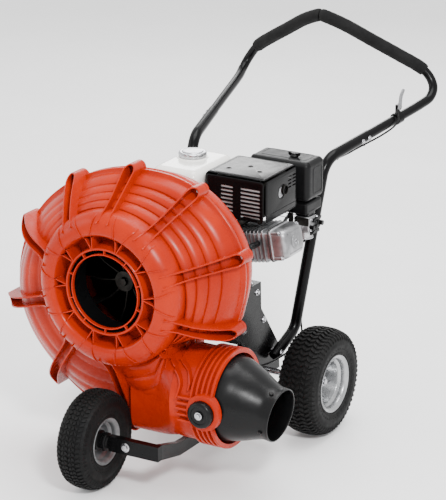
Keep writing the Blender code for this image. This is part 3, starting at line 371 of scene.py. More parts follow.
def smooth_path(points, per_span=8):
    """A Catmull-Rom curve through the points."""
    points = [Vector(p) for p in points]
    path = []
    for i in range(len(points) - 1):
        before = points[i - 1] if i else points[0] * 2 - points[1]
        after = points[i + 2] if i + 2 < len(points) else points[-1] * 2 - points[-2]
        for k in range(per_span):
            t = k / per_span
            path.append(0.5 *
                        (2 * points[i] + (points[i + 1] - before) * t +
                         (2 * before - 5 * points[i] + 4 * points[i + 1] - after) * t * t +
                         (3 * points[i] - before - 3 * points[i + 1] + after) * t ** 3))
    path.append(points[-1])
    return path


def rounded_path(points, radii, steps=10):
    """Straight runs joined by arcs of the given radii at the inner points."""
    points = [Vector(p) for p in points]
    path = [points[0]]
    for before, corner, after, radius in zip(points, points[1:], points[2:], radii):
        into = (corner - before).normalized()
        out = (after - corner).normalized()
        half = into.angle(out) / 2
        centre = corner + (out - into).normalized() * radius / math.cos(half)
        first = corner - into * radius * math.tan(half) - centre
        normal = into.cross(out).normalized()
        path += [centre + Matrix.Rotation(2 * half * k / steps, 3, normal) @ first for k in range(steps + 1)]
    path.append(points[-1])
    return path


def add_sweep(bm, path, radius, sides=24):
    """A round bar along a path, which never twists. radius is a number or a function of the point's index."""
    tangents = [(b - a).normalized() for a, b in zip(path, path[1:])]
    tangents = [tangents[0]] + [(a + b).normalized() for a, b in zip(tangents, tangents[1:])] + [tangents[-1]]
    side = tangents[0].orthogonal().normalized()
    rings = []
    for i, (point, tangent) in enumerate(zip(path, tangents)):
        if i:
            side = (side - tangent * side.dot(tangent)).normalized()
        other = tangent.cross(side)
        size = radius(i) if callable(radius) else radius
        rings.append([bm.verts.new(point + (side * math.cos(a) + other * math.sin(a)) * size)
                      for a in (2 * math.pi * k / sides for k in range(sides))])
    return skin(bm, rings)


def sweep(path, radius, sides=24):
    return add_sweep(bmesh.new(), path, radius, sides)


def add_bead(bm, outline, axis, depth, radius=0.0014):
    """A raised line that follows a closed outline."""
    return add_sweep(bm, [Vector(p) for p in flat_points(outline + outline[:1], axis, depth)], radius, 8)


def add_hose(bm, points, radius, sides=16, per_span=8):
    return add_sweep(bm, smooth_path(points, per_span), radius, sides)


def cut(obj, cutter, operation="DIFFERENCE", solver="EXACT"):
    """Cuts or joins a helper shape, which is drawn in the same coordinates and isn't shown."""
    bmesh.ops.remove_doubles(cutter, verts=cutter.verts, dist=1e-6)
    bmesh.ops.recalc_face_normals(cutter, faces=cutter.faces)
    bmesh.ops.translate(cutter, verts=cutter.verts, vec=SHIFT)
    mesh = bpy.data.meshes.new(f"{obj.name}_cutter")
    cutter.to_mesh(mesh)
    cutter.free()
    mesh.materials.append(obj.data.materials[0])
    other = bpy.data.objects.new(mesh.name, mesh)
    bpy.context.scene.collection.objects.link(other)
    mod = obj.modifiers.new("cut", "BOOLEAN")
    mod.operation = operation
    mod.solver = solver
    mod.object = other
    bpy.context.view_layer.update()
    ready = obj.evaluated_get(bpy.context.evaluated_depsgraph_get())
    made = bpy.data.meshes.new_from_object(ready)
    made.shade_smooth()
    made.set_sharp_from_angle(angle=math.radians(35))
    obj.modifiers.clear()
    obj.data = made
    bpy.data.objects.remove(other)


# ---------------------------------------------------------------- fan housing
WALL = 0.004
SPLIT_Y, BACK_Y, THROAT_Y = -0.2, -0.12, -0.3
TORUS_Y, TORUS_R, TORUS_TUBE = -0.347, 0.178, 0.055
GUARD_Y, GUARD_R, GUARD_INNER_R = -0.403, 0.127, 0.11
RIB_RADII = (0.366, 0.388, 0.372, 0.34, 0.347, 0.394, 0.45, 0.468, 0.478, 0.42)
FULLNESS = (0.3, 0.05, 0.0, 0.0, 0.1, 0.35, 0.6, 0.4, 0.0, 0.9)
RIB_FIRST_DEG, RIB_PITCH_DEG, RIB_COUNT = -18.0, 36.0, 10
NOSE, FLANGE = 0.021, 0.014
NOSE_R, BOSS_R = 0.0175, 0.0192
FIN_HALF, WEB_HALF, DUCT_WALL_HALF = 0.0022, 0.0016, 0.0026
DUCT_START, DUCT_CUT_START = 0.03, 0.02
FOOT = TORUS_R + TORUS_TUBE * math.cos(math.radians(20))
LIP_Y = GUARD_Y + 0.011
GROOVE_Y = GUARD_Y + 0.068
NOZZLE = local("nozzle_tilt")
COLLAR_X = (node_box("discharge_collar")[0].x, NOZZLE.x + 0.026)
COLLAR_R = 0.133
STEPS = 288


def periodic(values, angle):
    """Smooth closed curve through values spaced evenly round a circle from RIB_FIRST_DEG."""
    place = (math.degrees(angle) - RIB_FIRST_DEG) / RIB_PITCH_DEG
    i = math.floor(place)
    t = place - i
    a, b, c, d = (values[(i + k) % RIB_COUNT] for k in (-1, 0, 1, 2))
    return 0.5 * (2 * b + (c - a) * t + (2 * a - 5 * b + 4 * c - d) * t * t
                  + (3 * b - a - 3 * c + d) * t ** 3)


def scroll_radius(angle):
    """Edge of the scroll. Near the outlet it keeps behind the collar, then rises again past the cut-off."""
    degrees = math.degrees(angle) % 360.0
    radius = periodic(RIB_RADII, angle)
    if 276 < degrees < 342:
        cut_off = 0.272 + (RIB_RADII[0] - 0.272) * max(0.0, degrees - 322) / 20
        radius = min(radius, max(COLLAR_X[0] / math.cos(angle), cut_off))
    return radius


TERRACES = (0.0, 0.24, 0.47, 0.7, 1.0)


def volute_y(angle, u, skin=0.0):
    """Front face of the volute from the intake roll to the rim, in rounded terraces with creases between."""
    y_near = TORUS_Y + TORUS_TUBE * 0.34 + skin
    y_far = SPLIT_Y - 0.02 + skin * 0.4
    y = y_near + (y_far - y_near) * u ** (1.0 + 4.0 * max(0.0, periodic(FULLNESS, angle)))
    if not skin:
        for start, end in zip(TERRACES, TERRACES[1:]):
            if start <= u <= end:
                t = (u - start) / (end - start)
                plain = 0.28 + 0.72 * min(1.0, 0.65 + 0.65 * math.cos(angle - math.radians(12)))
                y -= 0.0092 * plain * (end - start) / 0.23 * (1 - abs(2 * t - 1) ** 2.6)
                break
    return y


def rim_radius(angle):
    return scroll_radius(angle) - NOSE - FLANGE


def skin_y(radius, angle):
    """The housing's outer front surface at a radius and angle, from the lip out to the flange."""
    if radius < 0.14:
        return LIP_Y
    if radius < 0.166:
        return GROOVE_Y if radius < 0.16 else LIP_Y
    if radius < FOOT:
        return TORUS_Y - math.sqrt(max(0.0, TORUS_TUBE ** 2 - (radius - TORUS_R) ** 2))
    u = (radius - FOOT) / (rim_radius(angle) - FOOT)
    return volute_y(angle, u) if u < 1 else SPLIT_Y - 0.012


def on_face(radius, angle, y):
    return Vector((radius * math.cos(angle), y, CRANK_Z + radius * math.sin(angle)))


def ring_body(section_at):
    """A closed band whose section, a closed loop of (radius, y), changes round the crankshaft."""
    bm = bmesh.new()
    rings = [[bm.verts.new(on_face(r, angle, y)) for r, y in section_at(angle)] for angle in turns(STEPS)]
    return skin(bm, rings, loop=True)


def front_section(angle):
    """Section of the front shell: lip, groove, roll, terraces and flange, then back along the inside."""
    rim = rim_radius(angle)
    outer = [(GUARD_R - 0.005, THROAT_Y), (GUARD_R - 0.0042, LIP_Y + 0.004),
             (GUARD_R - 0.003, LIP_Y + 0.0008), (GUARD_R - 0.0015, LIP_Y), (GUARD_R + 0.0015, LIP_Y),
             (GUARD_R + 0.003, LIP_Y + 0.0015), (0.1365, GROOVE_Y - 0.003), (0.139, GROOVE_Y),
             (0.158, GROOVE_Y), (0.1605, GROOVE_Y - 0.003), (0.165, LIP_Y + 0.004), (0.1668, LIP_Y - 0.002),
             (0.1705, LIP_Y - 0.0068)]
    for k in range(15):
        turn = math.radians(92 - 74 * k / 14)
        outer.append((TORUS_R + TORUS_TUBE * math.cos(turn), TORUS_Y - TORUS_TUBE * math.sin(turn)))
    for start, end in zip(TERRACES, TERRACES[1:]):
        for k in range(8):
            u = start + (end - start) * k / 8
            outer.append((FOOT + 0.0015 + (rim - FOOT - 0.0015) * u, volute_y(angle, u)))
    outer += [(rim, volute_y(angle, 1.0)), (rim + 0.0015, SPLIT_Y - 0.0145), (rim + 0.004, SPLIT_Y - 0.0125),
              (rim + FLANGE - 0.0015, SPLIT_Y - 0.0115), (rim + FLANGE, SPLIT_Y - 0.01),
              (rim + FLANGE, SPLIT_Y - 0.003), (rim + FLANGE - 0.0015, SPLIT_Y - 0.0008)]
    inner = [(rim - WALL, SPLIT_Y - 0.0008)]
    for u in (1.0, 0.85, 0.6, 0.3, 0.0):
        inner.append((FOOT - WALL + (rim - FOOT) * u, volute_y(angle, u, WALL)))
    for degrees in (20, 40, 60, 90):
        turn = math.radians(degrees)
        inner.append((TORUS_R + (TORUS_TUBE - WALL) * math.cos(turn),
                      TORUS_Y - (TORUS_TUBE - WALL) * math.sin(turn)))
    inner += [(0.1715, GUARD_Y + 0.016), (0.1665, GROOVE_Y + WALL), (GUARD_R + 0.001, GROOVE_Y + WALL),
              (GUARD_R - 0.001, THROAT_Y)]
    return outer + inner


def back_section(angle):
    """Section of the back shell: flange, rounded edge and flat back with two shallow steps."""
    rim = rim_radius(angle)
    bulge = [(rim + 0.001 - 0.024 * (1 - math.cos(t)), SPLIT_Y + 0.018 + 0.061 * math.sin(t))
             for t in (math.radians(90 * k / 8) for k in range(9))]
    outer = [(rim - WALL, SPLIT_Y + 0.0008), (rim + FLANGE - 0.0015, SPLIT_Y + 0.0008),
             (rim + FLANGE, SPLIT_Y + 0.003), (rim + FLANGE, SPLIT_Y + 0.01),
             (rim + FLANGE - 0.0015, SPLIT_Y + 0.0115), (rim + 0.004, SPLIT_Y + 0.0125)]
    outer += bulge
    flat = rim - 0.04
    for share, y in ((1.0, 0.0), (0.97, -0.004), (0.8, -0.004), (0.77, 0.0), (0.62, 0.0), (0.59, -0.004),
                     (0.42, -0.004), (0.39, 0.0)):
        outer.append((0.105 + (flat - 0.105) * share, BACK_Y + y))
    outer += [(0.105, BACK_Y), (0.1, BACK_Y + 0.005), (0.064, BACK_Y + 0.005), (0.06, BACK_Y + 0.002)]
    inner = [(0.06, BACK_Y - WALL - 0.003), (rim - 0.026, BACK_Y - WALL - 0.003),
             (rim - WALL, SPLIT_Y + 0.018)]
    return outer + inner


def duct_section(squareness):
    """Middle (y, z), half width, half height and corner power of the outlet duct."""
    return (NOZZLE.y + 0.02 * squareness, NOZZLE.z - 0.01 * squareness, 0.13 - 0.045 * squareness,
            0.13 + 0.006 * squareness, 2.0 + 3.0 * squareness)


def duct_tube(inset, x0, x1, steps=96):
    """The outlet duct: a squarish section inside the volute that becomes round at the collar."""
    bm = bmesh.new()
    rings = []
    for m in range(13):
        along = m / 12
        middle_y, middle_z, half_y, half_z, power = duct_section(1.0 - along ** 2.2)
        ring = []
        for angle in turns(steps):
            ca, sa = math.cos(angle), math.sin(angle)
            reach = (abs(ca) ** power + abs(sa) ** power) ** (-1.0 / power)
            ring.append(bm.verts.new((x0 + (x1 - x0) * along, middle_y + (half_y - inset) * ca * reach,
                                      middle_z + (half_z - inset) * sa * reach)))
        rings.append(ring)
    return skin(bm, rings)


def add_fin(bm, path, half, front, rear):
    """A thin wall on the housing. path is (point, angle) pairs; front and rear give y at each of them."""
    rows = []
    for k, (point, angle) in enumerate(path):
        before, after = path[max(0, k - 1)][0], path[min(len(path) - 1, k + 1)][0]
        along = (after - before).normalized()
        side = Vector((-along.z, 0, along.x)) * (half(k) if callable(half) else half)
        radius = math.hypot(point.x, point.z)
        f, r = front(radius, angle), rear(radius, angle)
        corners = ((point - side, r), (point - side, f), (point + side, f), (point + side, r))
        rows.append([bm.verts.new((q.x, y, CRANK_Z + q.z)) for q, y in corners])
    return skin(bm, rows)


def rib_front(radius, angle, tip):
    """Front edge of a rib: a lane above the volute that rises at the intake roll."""
    u = min(1.0, max(0.0, (radius - FOOT) / (tip - FOOT)))
    base = TORUS_Y + TORUS_TUBE * 0.34
    far = SPLIT_Y - 0.02
    y = base + (far - base) * u ** (1.0 + 4.0 * max(0.0, periodic(FULLNESS, angle)))
    return y - 0.034 * (1.0 - 0.45 * u) - 0.036 * math.exp(-(radius - 0.21) / 0.02) * (radius < 0.3)


def rib_rear(radius, angle):
    """Rear edge of a rib, just inside the housing."""
    rim = rim_radius(angle)
    if radius >= rim:
        return SPLIT_Y - 0.0006
    return skin_y(radius, angle) + 0.003


def add_hairpin(bm, angle):
    """Two walls from the intake roll that join in a round nose past the flange."""
    radial = crank_spot(angle)
    across = Vector((-math.sin(angle), 0, math.cos(angle)))
    tip = scroll_radius(angle)
    start, bend = 0.206, tip - 0.0195
    one_side = []
    for k in range(25):
        t = k / 24
        radius = start + (bend - start) * t
        one_side.append((radius, 0.0185 - 0.0045 * math.sin(math.pi * t ** 0.7) - 0.001 * t))
    nose = []
    for k in range(1, 14):
        turn = math.radians(90 - 180 * k / 14)
        nose.append((bend + NOSE_R * math.cos(turn), NOSE_R * math.sin(turn)))
    points = one_side + nose + [(r, -h) for r, h in one_side[::-1]]
    path = []
    for r, h in points:
        point = radial * r + across * h
        path.append((point, math.atan2(point.z, point.x)))
    add_fin(bm, path, FIN_HALF, lambda r, a: rib_front(min(r, tip), a, tip), rib_rear)
    boss = Vector((0, SPLIT_Y, CRANK_Z)) + radial * bend
    add_lathe(bm, to_axis((BOSS_R, -0.0006), (BOSS_R, -0.012), (NOSE_R, -0.014)), Y, boss, 32)
    return boss


def open_duct(obj):
    """Cuts the inside of the outlet duct out of a part of the housing."""
    cut(obj, duct_tube(WALL, DUCT_CUT_START, COLLAR_X[0] + 0.01), solver="MANIFOLD")


open_duct(piece("housing_front", ring_body(front_section), "orange_moulding", nodes=("front_shell",)))
open_duct(piece("housing_back", ring_body(back_section), "orange_moulding", nodes=("back_shell",)))
open_duct(piece("outlet_duct", duct_tube(0.0, DUCT_START, COLLAR_X[0] - 0.0004), "orange_moulding"))

ribs = bmesh.new()
bosses = []
for index in range(RIB_COUNT - 1):
    bosses.append(add_hairpin(ribs, math.radians(RIB_FIRST_DEG + RIB_PITCH_DEG * index)))
piece("housing_ribs", ribs, "orange_moulding", bevel=0.001)


def web_front(radius, angle):
    """Front edge of an intake web: level with the lip, then a little proud of the roll, fading at its end."""
    t = min(1.0, max(0.0, (radius - 0.163) / 0.014))
    proud = 0.0036 * min(1.0, max(0.0, (0.2285 - radius) / 0.01)) - 0.0004
    over = TORUS_Y - math.sqrt(max(0.0, (TORUS_TUBE + proud) ** 2 - (max(radius, 0.177) - TORUS_R) ** 2))
    return LIP_Y - 0.0006 + (over - LIP_Y + 0.0006) * t * t * (3 - 2 * t)


webs = bmesh.new()
for index in range(RIB_COUNT):
    for side in (-1, 1):
        path = []
        for k in range(19):
            t = k / 18
            radius = 0.126 + 0.103 * t
            turn = math.radians(RIB_PITCH_DEG * index + side * (0.6 + 9.5 * t))
            path.append((Vector((radius * math.cos(turn), 0, radius * math.sin(turn))), turn))
        add_fin(webs, path, WEB_HALF, web_front,
                lambda r, a: (GROOVE_Y + 0.001 if r < 0.165 else skin_y(r, a) + 0.004))
piece("intake_webs", webs, "orange_moulding", bevel=0.0007)


def duct_front(x, z):
    """Front surface of the outlet duct, and of the collar's barrel past its end."""
    if x > COLLAR_X[0]:
        return NOZZLE.y - math.sqrt(max(0.0, (COLLAR_R + 0.005) ** 2 - (z - NOZZLE.z) ** 2))
    along = (x - DUCT_START) / (COLLAR_X[0] - DUCT_START - 0.0004)
    middle_y, middle_z, half_y, half_z, power = duct_section(1.0 - along ** 2.2)
    share = abs((z - middle_z) / half_z)
    return middle_y - half_y * max(0.0, 1.0 - share ** power) ** (1.0 / power)


def add_duct_wall(bm, route, proud):
    """A thin wall that runs down the duct's front from the housing to the collar."""
    path = [Vector((x, 0, z - CRANK_Z)) for x, z in route]
    path = [(p, math.atan2(p.z, p.x)) for p in smooth_path([tuple(p) for p in path], 6)]

    def surface(radius, angle):
        x, z = radius * math.cos(angle), CRANK_Z + radius * math.sin(angle)
        y = duct_front(x, z)
        return min(y, skin_y(radius, angle)) if radius < rim_radius(angle) else y
    return add_fin(bm, path, DUCT_WALL_HALF, lambda r, a: surface(r, a) - proud,
                   lambda r, a: surface(r, a) + 0.008)


walls = bmesh.new()
add_duct_wall(walls, [(0.15, 0.42), (0.168, 0.402), (0.192, 0.386), (0.221, 0.369), (0.236, 0.35),
                      (0.237, 0.33), (0.232, 0.308)], 0.016)
add_duct_wall(walls, [(0.17, 0.43), (0.19, 0.408), (0.216, 0.396), (0.248, 0.38), (0.2635, 0.356),
                      (0.2655, 0.334)], 0.013)
piece("duct_walls", walls, "orange_moulding", bevel=0.0009)

ring_bm = lathe([(GUARD_INNER_R - 0.002, GUARD_Y + 0.013), (GUARD_INNER_R - 0.001, GUARD_Y + 0.012),
                 (GUARD_INNER_R + 0.001, GUARD_Y + 0.012), (GUARD_INNER_R + 0.002, GUARD_Y + 0.013),
                 (GUARD_INNER_R + 0.002, GUARD_Y + 0.024), (GUARD_INNER_R - 0.002, GUARD_Y + 0.024)], Y,
                CRANK, 120)
for index in range(RIB_COUNT):
    turn = Matrix.Translation(CRANK) @ Matrix.Rotation(math.radians(RIB_PITCH_DEG * index), 4, "Y")
    spoke = box((-0.0016, GUARD_Y + 0.0122, GUARD_INNER_R), (0.0016, GUARD_Y + 0.023, GUARD_R - 0.003))
    bmesh.ops.transform(spoke, matrix=turn, verts=spoke.verts)
    merge(ring_bm, spoke)
piece("intake_ring", ring_bm, "orange_moulding", nodes=("inlet_ring",), bevel=0.0004)

screws = bmesh.new()
for spot in bosses:
    bolt(screws, spot - Y * 0.014, -Y, 0.0052, 0.0042)
    add_lathe(screws, to_axis((0.0075, 0.0), (0.0075, 0.006)), Y, spot + Y * 0.012, 6)
    add_rod(screws, spot, spot + Y * 0.022, 0.0038, 12)
piece("housing_bolts", screws, "zinc_steel", bevel=0.0003)
lugs = bmesh.new()
for spot in bosses:
    inward = Vector((-spot.x, 0, CRANK_Z - spot.z)).normalized()
    add_lathe(lugs, to_axis((BOSS_R, 0.0006), (BOSS_R, 0.011), (0.0178, 0.0125)), Y, spot, 32)
    side = Vector((-inward.z, 0, inward.x)) * BOSS_R
    corners = [spot + side, spot - side, spot - side + inward * 0.016, spot + side + inward * 0.016]
    skin(lugs, [[lugs.verts.new(c + Y * depth) for c in corners] for depth in (0.0006, 0.0122)])
piece("housing_back_bosses", lugs, "orange_moulding", bevel=0.0008)


# ---------------------------------------------------------------- outlet collar and nozzle
EAR_R, PIVOT_R = 0.0545, 0.0126
BALL_R, MOUTH_R, NOZZLE_WALL = 0.1275, 0.075, 0.004
NOZZLE_DROP_DEG = 8.0
CAP_FACE, CAP_R = 0.1504, 0.039


def build_collar():
    """Barrel with raised ridges, a bored ear on each side of the pivot, and short fins beside the ears."""
    bore = [(COLLAR_R, COLLAR_X[1]), (COLLAR_R, COLLAR_X[0])]
    outside = [(COLLAR_R + 0.005, COLLAR_X[0]), (COLLAR_R + 0.005, COLLAR_X[0] + 0.054),
               (COLLAR_R + 0.003, COLLAR_X[0] + 0.058)]
    ridges = 5
    first = COLLAR_X[0] + 0.06
    pitch = (COLLAR_X[1] - first) / ridges
    for i in range(ridges):
        x = first + pitch * i
        outside += [(COLLAR_R + 0.003, x + 0.04 * pitch), (COLLAR_R + 0.003, x + 0.38 * pitch),
                    (COLLAR_R + 0.0045, x + 0.46 * pitch), (COLLAR_R + 0.0128, x + 0.52 * pitch),
                    (COLLAR_R + 0.014, x + 0.6 * pitch), (COLLAR_R + 0.014, x + 0.88 * pitch),
                    (COLLAR_R + 0.0128, x + 0.96 * pitch)]
    outside.append((COLLAR_R + 0.012, COLLAR_X[1]))
    collar = piece("collar", lathe(bore + outside, X, (0, NOZZLE.y, NOZZLE.z), 120), "orange_moulding",
                   nodes=("discharge_collar",))
    for side in (-1, 1):
        fins = bmesh.new()
        for k in range(-2, 3):
            z = NOZZLE.z + 0.0175 * k
            add_box(fins, (NOZZLE.x - 0.09 + 0.004 * abs(k), NOZZLE.y + side * 0.118, z - 0.0028),
                    (NOZZLE.x - 0.03, NOZZLE.y + side * 0.1475, z + 0.0028))
        cut(collar, fins, "UNION")
        ear = to_axis((EAR_R, 0.112), (EAR_R, 0.142), (0.053, 0.1485), (0.05, 0.15))
        cut(collar, lathe(ear, Y * side, NOZZLE, 72), "UNION")
        cut(collar, rod(NOZZLE + Y * side * 0.1, NOZZLE + Y * side * 0.2, PIVOT_R, 32))
    cut(collar, rod((COLLAR_X[0] - 0.01, NOZZLE.y, NOZZLE.z), (COLLAR_X[1] + 0.06, NOZZLE.y, NOZZLE.z),
                    COLLAR_R, 120))


build_collar()


def build_nozzle():
    """Ball and cone in one shell, with four lugs near the mouth, the pivot cap, its grips and its bolt."""
    outside, inside = [], []
    for k in range(11):
        turn = math.radians(-24 + 48 * k / 10)
        outside.append((BALL_R * math.cos(turn), BALL_R * math.sin(turn)))
        inside.append(((BALL_R - NOZZLE_WALL) * math.cos(turn), (BALL_R - NOZZLE_WALL) * math.sin(turn)))
    shape = smooth_path([(0.1165, 0.052, 0), (0.104, 0.086, 0), (0.089, 0.12, 0),
                         (MOUTH_R + 0.0055, 0.144, 0), (MOUTH_R + 0.005, 0.168, 0)], 6)[1:]
    outside += [(p.x, p.y) for p in shape]
    inside += [(p.x - 0.0048, p.y) for p in shape]
    outside += [(MOUTH_R + 0.0045, 0.1712), (MOUTH_R + 0.0032, 0.172)]
    inside += [(MOUTH_R + 0.0012, 0.172)]
    drop = math.radians(NOZZLE_DROP_DEG)
    axis = Vector((math.cos(drop), 0, -math.sin(drop)))
    piece("nozzle_cone", lathe(outside + inside[::-1], axis, NOZZLE, 120), "black_moulding", "nozzle_head",
          ("nozzle",))
    lugs = bmesh.new()
    up = axis.cross(Y)
    for turn in (math.radians(degrees) for degrees in range(25, 385, 90)):
        out = Y * math.cos(turn) + up * math.sin(turn)
        add_lathe(lugs, to_axis((0.0062, 0.076), (0.0062, 0.0835), (0.0045, 0.085)), out,
                  NOZZLE + axis * 0.15, 24)
    piece("nozzle_lugs", lugs, "black_moulding", "nozzle_head")
    cap = to_axis((0.012, 0.128), (0.012, CAP_FACE), (CAP_R, CAP_FACE), (CAP_R, CAP_FACE + 0.013),
                  (0.0377, CAP_FACE + 0.0165), (0.035, CAP_FACE + 0.019), (0.03, CAP_FACE + 0.0205),
                  (0.0265, CAP_FACE + 0.0195), (0.025, CAP_FACE + 0.0172), (0.015, CAP_FACE + 0.0172),
                  (0.0136, CAP_FACE + 0.021))
    piece("pivot_cap", lathe(cap, -Y, NOZZLE, 72), "black_moulding", "nozzle_head", ("nozzle_pivot_cap",))
    head = bmesh.new()
    for turn in turns(18):
        spot = NOZZLE + crank_spot(turn) * 0.038 - Y * (CAP_FACE + 0.002)
        add_rod(head, spot, spot - Y * 0.011, 0.0022, 10)
    piece("pivot_cap_grips", head, "black_moulding", "nozzle_head")
    spot = NOZZLE - Y * (CAP_FACE + 0.0205)
    piece("pivot_bolt", bolt(bmesh.new(), spot, -Y, 0.008, 0.0055), "zinc_steel", "nozzle_head",
          ("nozzle_pivot_bolt",), bevel=0.0004)


build_nozzle()


# ---------------------------------------------------------------- wheels
def add_block(bm, centre, axis, spans, radii, skew):
    """A tread block on a wheel.

    spans are its start angle, end angle, inner side and outer side. radii are its depth, then its top's
    radius at each side.
    """
    a0, a1, h0, h1 = spans
    across = frame_to(axis, centre)
    verts = []
    for low in (True, False):
        for angle, h, top in ((a0, h0, radii[1]), (a1, h0, radii[1]), (a1 + skew, h1, radii[2]),
                              (a0 + skew, h1, radii[2])):
            r = (top - radii[0]) if low else top
            inset = 0.0 if low else 0.12 * (a1 - a0)
            turn = angle + (inset if angle in (a0, a0 + skew) else -inset)
            verts.append(bm.verts.new(across @ Vector((r * math.cos(turn), r * math.sin(turn), h))))
    for corners in ((0, 1, 2, 3), (4, 5, 6, 7), (0, 1, 5, 4), (1, 2, 6, 5), (2, 3, 7, 6), (3, 0, 4, 7)):
        bm.faces.new([verts[i] for i in corners])


def crown(radius, half, h, drop):
    """Radius of the tread surface at a distance h from the tyre's middle."""
    return radius - drop * (abs(h) / half) ** 2.6


def tyre(name, nodes, body, centre, axis, radius, width, bead, rim_half, rows, count, depth, drop):
    """A tyre's carcass, its tread blocks and the marks on its side walls."""
    half = width / 2
    base = []
    for k in range(15):
        h = half * 0.9 * (1 - k / 7)
        base.append((crown(radius, half, h, drop) - depth, h))
    shoulder_r = base[0][0]
    side = [(bead + 0.0008, rim_half - 0.012), (bead + 0.001, rim_half - 0.006),
            (bead + 0.0065, rim_half - 0.0025), (bead + 0.0115, rim_half - 0.0015),
            (bead + 0.0135, rim_half + 0.001), (bead + 0.0165, rim_half + 0.0012),
            (bead + 0.0185, rim_half - 0.0002), (bead + 0.3 * (radius - bead), half - 0.0035),
            (bead + 0.42 * (radius - bead), half - 0.0006), (bead + 0.52 * (radius - bead), half - 0.0002),
            (bead + 0.55 * (radius - bead), half - 0.0018), (bead + 0.66 * (radius - bead), half - 0.0028)]
    outer = side + base + [(r, -h) for r, h in side[::-1]]
    inner = [(bead + 0.0008, rim_half - 0.018), (bead + 0.46 * (radius - bead), half - 0.01),
             (shoulder_r - 0.008, half * 0.72), (radius - 0.02, 0.0)]
    inner = inner + [(r, -h) for r, h in inner[:-1][::-1]]
    piece(f"{name}_carcass", lathe(outer + inner[::-1], axis, centre, 160), "tyre_rubber", body, nodes)
    blocks = bmesh.new()
    pitch = 2 * math.pi / count
    for h0, h1, share, skew, shift in rows:
        tops = (crown(radius, half, h0, drop), crown(radius, half, h1, drop))
        for k in range(count):
            start = pitch * (k + shift)
            add_block(blocks, centre, axis, (start, start + pitch * share, h0, h1), (depth + 0.0015, *tops),
                      skew * pitch)
    for way in (-1, 1):
        for k in range(count):
            start = pitch * (k + (0.25 if way > 0 else 0.75))
            top = crown(radius, half, half * 0.86, drop)
            lean = 0.12 * pitch * way
            spans = (start, start + pitch * 0.56, way * half * 0.7, way * half * 0.93)
            add_block(blocks, centre, axis, spans, (depth + 0.003, top + 0.0012, top - 0.0055), lean)
            lower = bead + 0.7 * (radius - bead)
            spans = (start + 0.1 * pitch, start + pitch * 0.46, way * half * 0.9, way * (half - 0.0008))
            add_block(blocks, centre, axis, spans, (0.006, top - 0.005, lower), lean)
    piece(f"{name}_tread", blocks, "tyre_rubber", body, bevel=0.0007, segments=1)
    marks = bmesh.new()
    for way in (-1, 1):
        for turn in turns(48):
            rim = bead + 0.36 * (radius - bead)
            add_block(marks, centre, axis, (turn, turn + 0.035, way * (half - 0.006), way * (half - 0.0014)),
                      (0.004, rim + 0.0045, rim), 0.0)
    piece(f"{name}_sidewall_marks", marks, "tyre_rubber", body)


REAR_ROWS = tuple((-0.05 + 0.0145 * k, -0.037 + 0.0145 * k, 0.64, 0.42 if k % 2 else -0.42,
                   0.5 * (k % 2)) for k in range(7))
FRONT_ROWS = ((-0.036, -0.0235, 0.66, 0.34, 0.0), (-0.0215, -0.012, 0.66, -0.34, 0.5),
              (-0.01, 0.0, 0.7, 0.3, 0.0), (0.002, 0.0115, 0.66, -0.34, 0.5),
              (0.0135, 0.0225, 0.66, 0.34, 0.0), (0.024, 0.036, 0.66, -0.34, 0.5))


def rim_section(flange, bead, half, bore, dish, boss, steps_out, thick=0.003):
    """Pressed rim: rolled flange, bead seat and drop centre, with a stepped dish and a hub boss."""
    drum = bead - 0.0105
    face = [(bore, boss), (bore + 0.0085, boss), (bore + 0.01, boss - 0.0015), (bore + 0.0115, dish + 0.0015)]
    face += [(r, dish + h) for r, h in steps_out]
    face += [(drum - 0.015, dish + 0.001), (drum - 0.0085, dish + 0.0035), (drum - 0.0045, dish + 0.01),
             (drum - 0.0032, half - 0.026), (drum - 0.002, half - 0.024), (bead - 0.0065, half - 0.021),
             (bead - 0.0045, half - 0.019), (bead - 0.0035, half - 0.0075), (bead - 0.001, half - 0.004),
             (flange - 0.0035, half - 0.0008), (flange - 0.0012, half + 0.0002), (flange, half - 0.001)]
    barrel = [(flange - 0.0006, half - 0.004), (bead, half - 0.0075), (bead, half - 0.018),
              (drum, half - 0.0255)]
    barrel += [(drum, 0.0255 - half), (bead, 0.018 - half), (bead, 0.0075 - half), (flange, -half)]
    back = [(flange - 0.003, 0.0006 - half), (bead - 0.0035, 0.0055 - half), (drum - thick, 0.0245 - half),
            (drum - 0.009, dish - thick), (bore + 0.012, dish - thick), (bore + 0.01, 0.014 - half),
            (bore, 0.014 - half)]
    return face + barrel + back


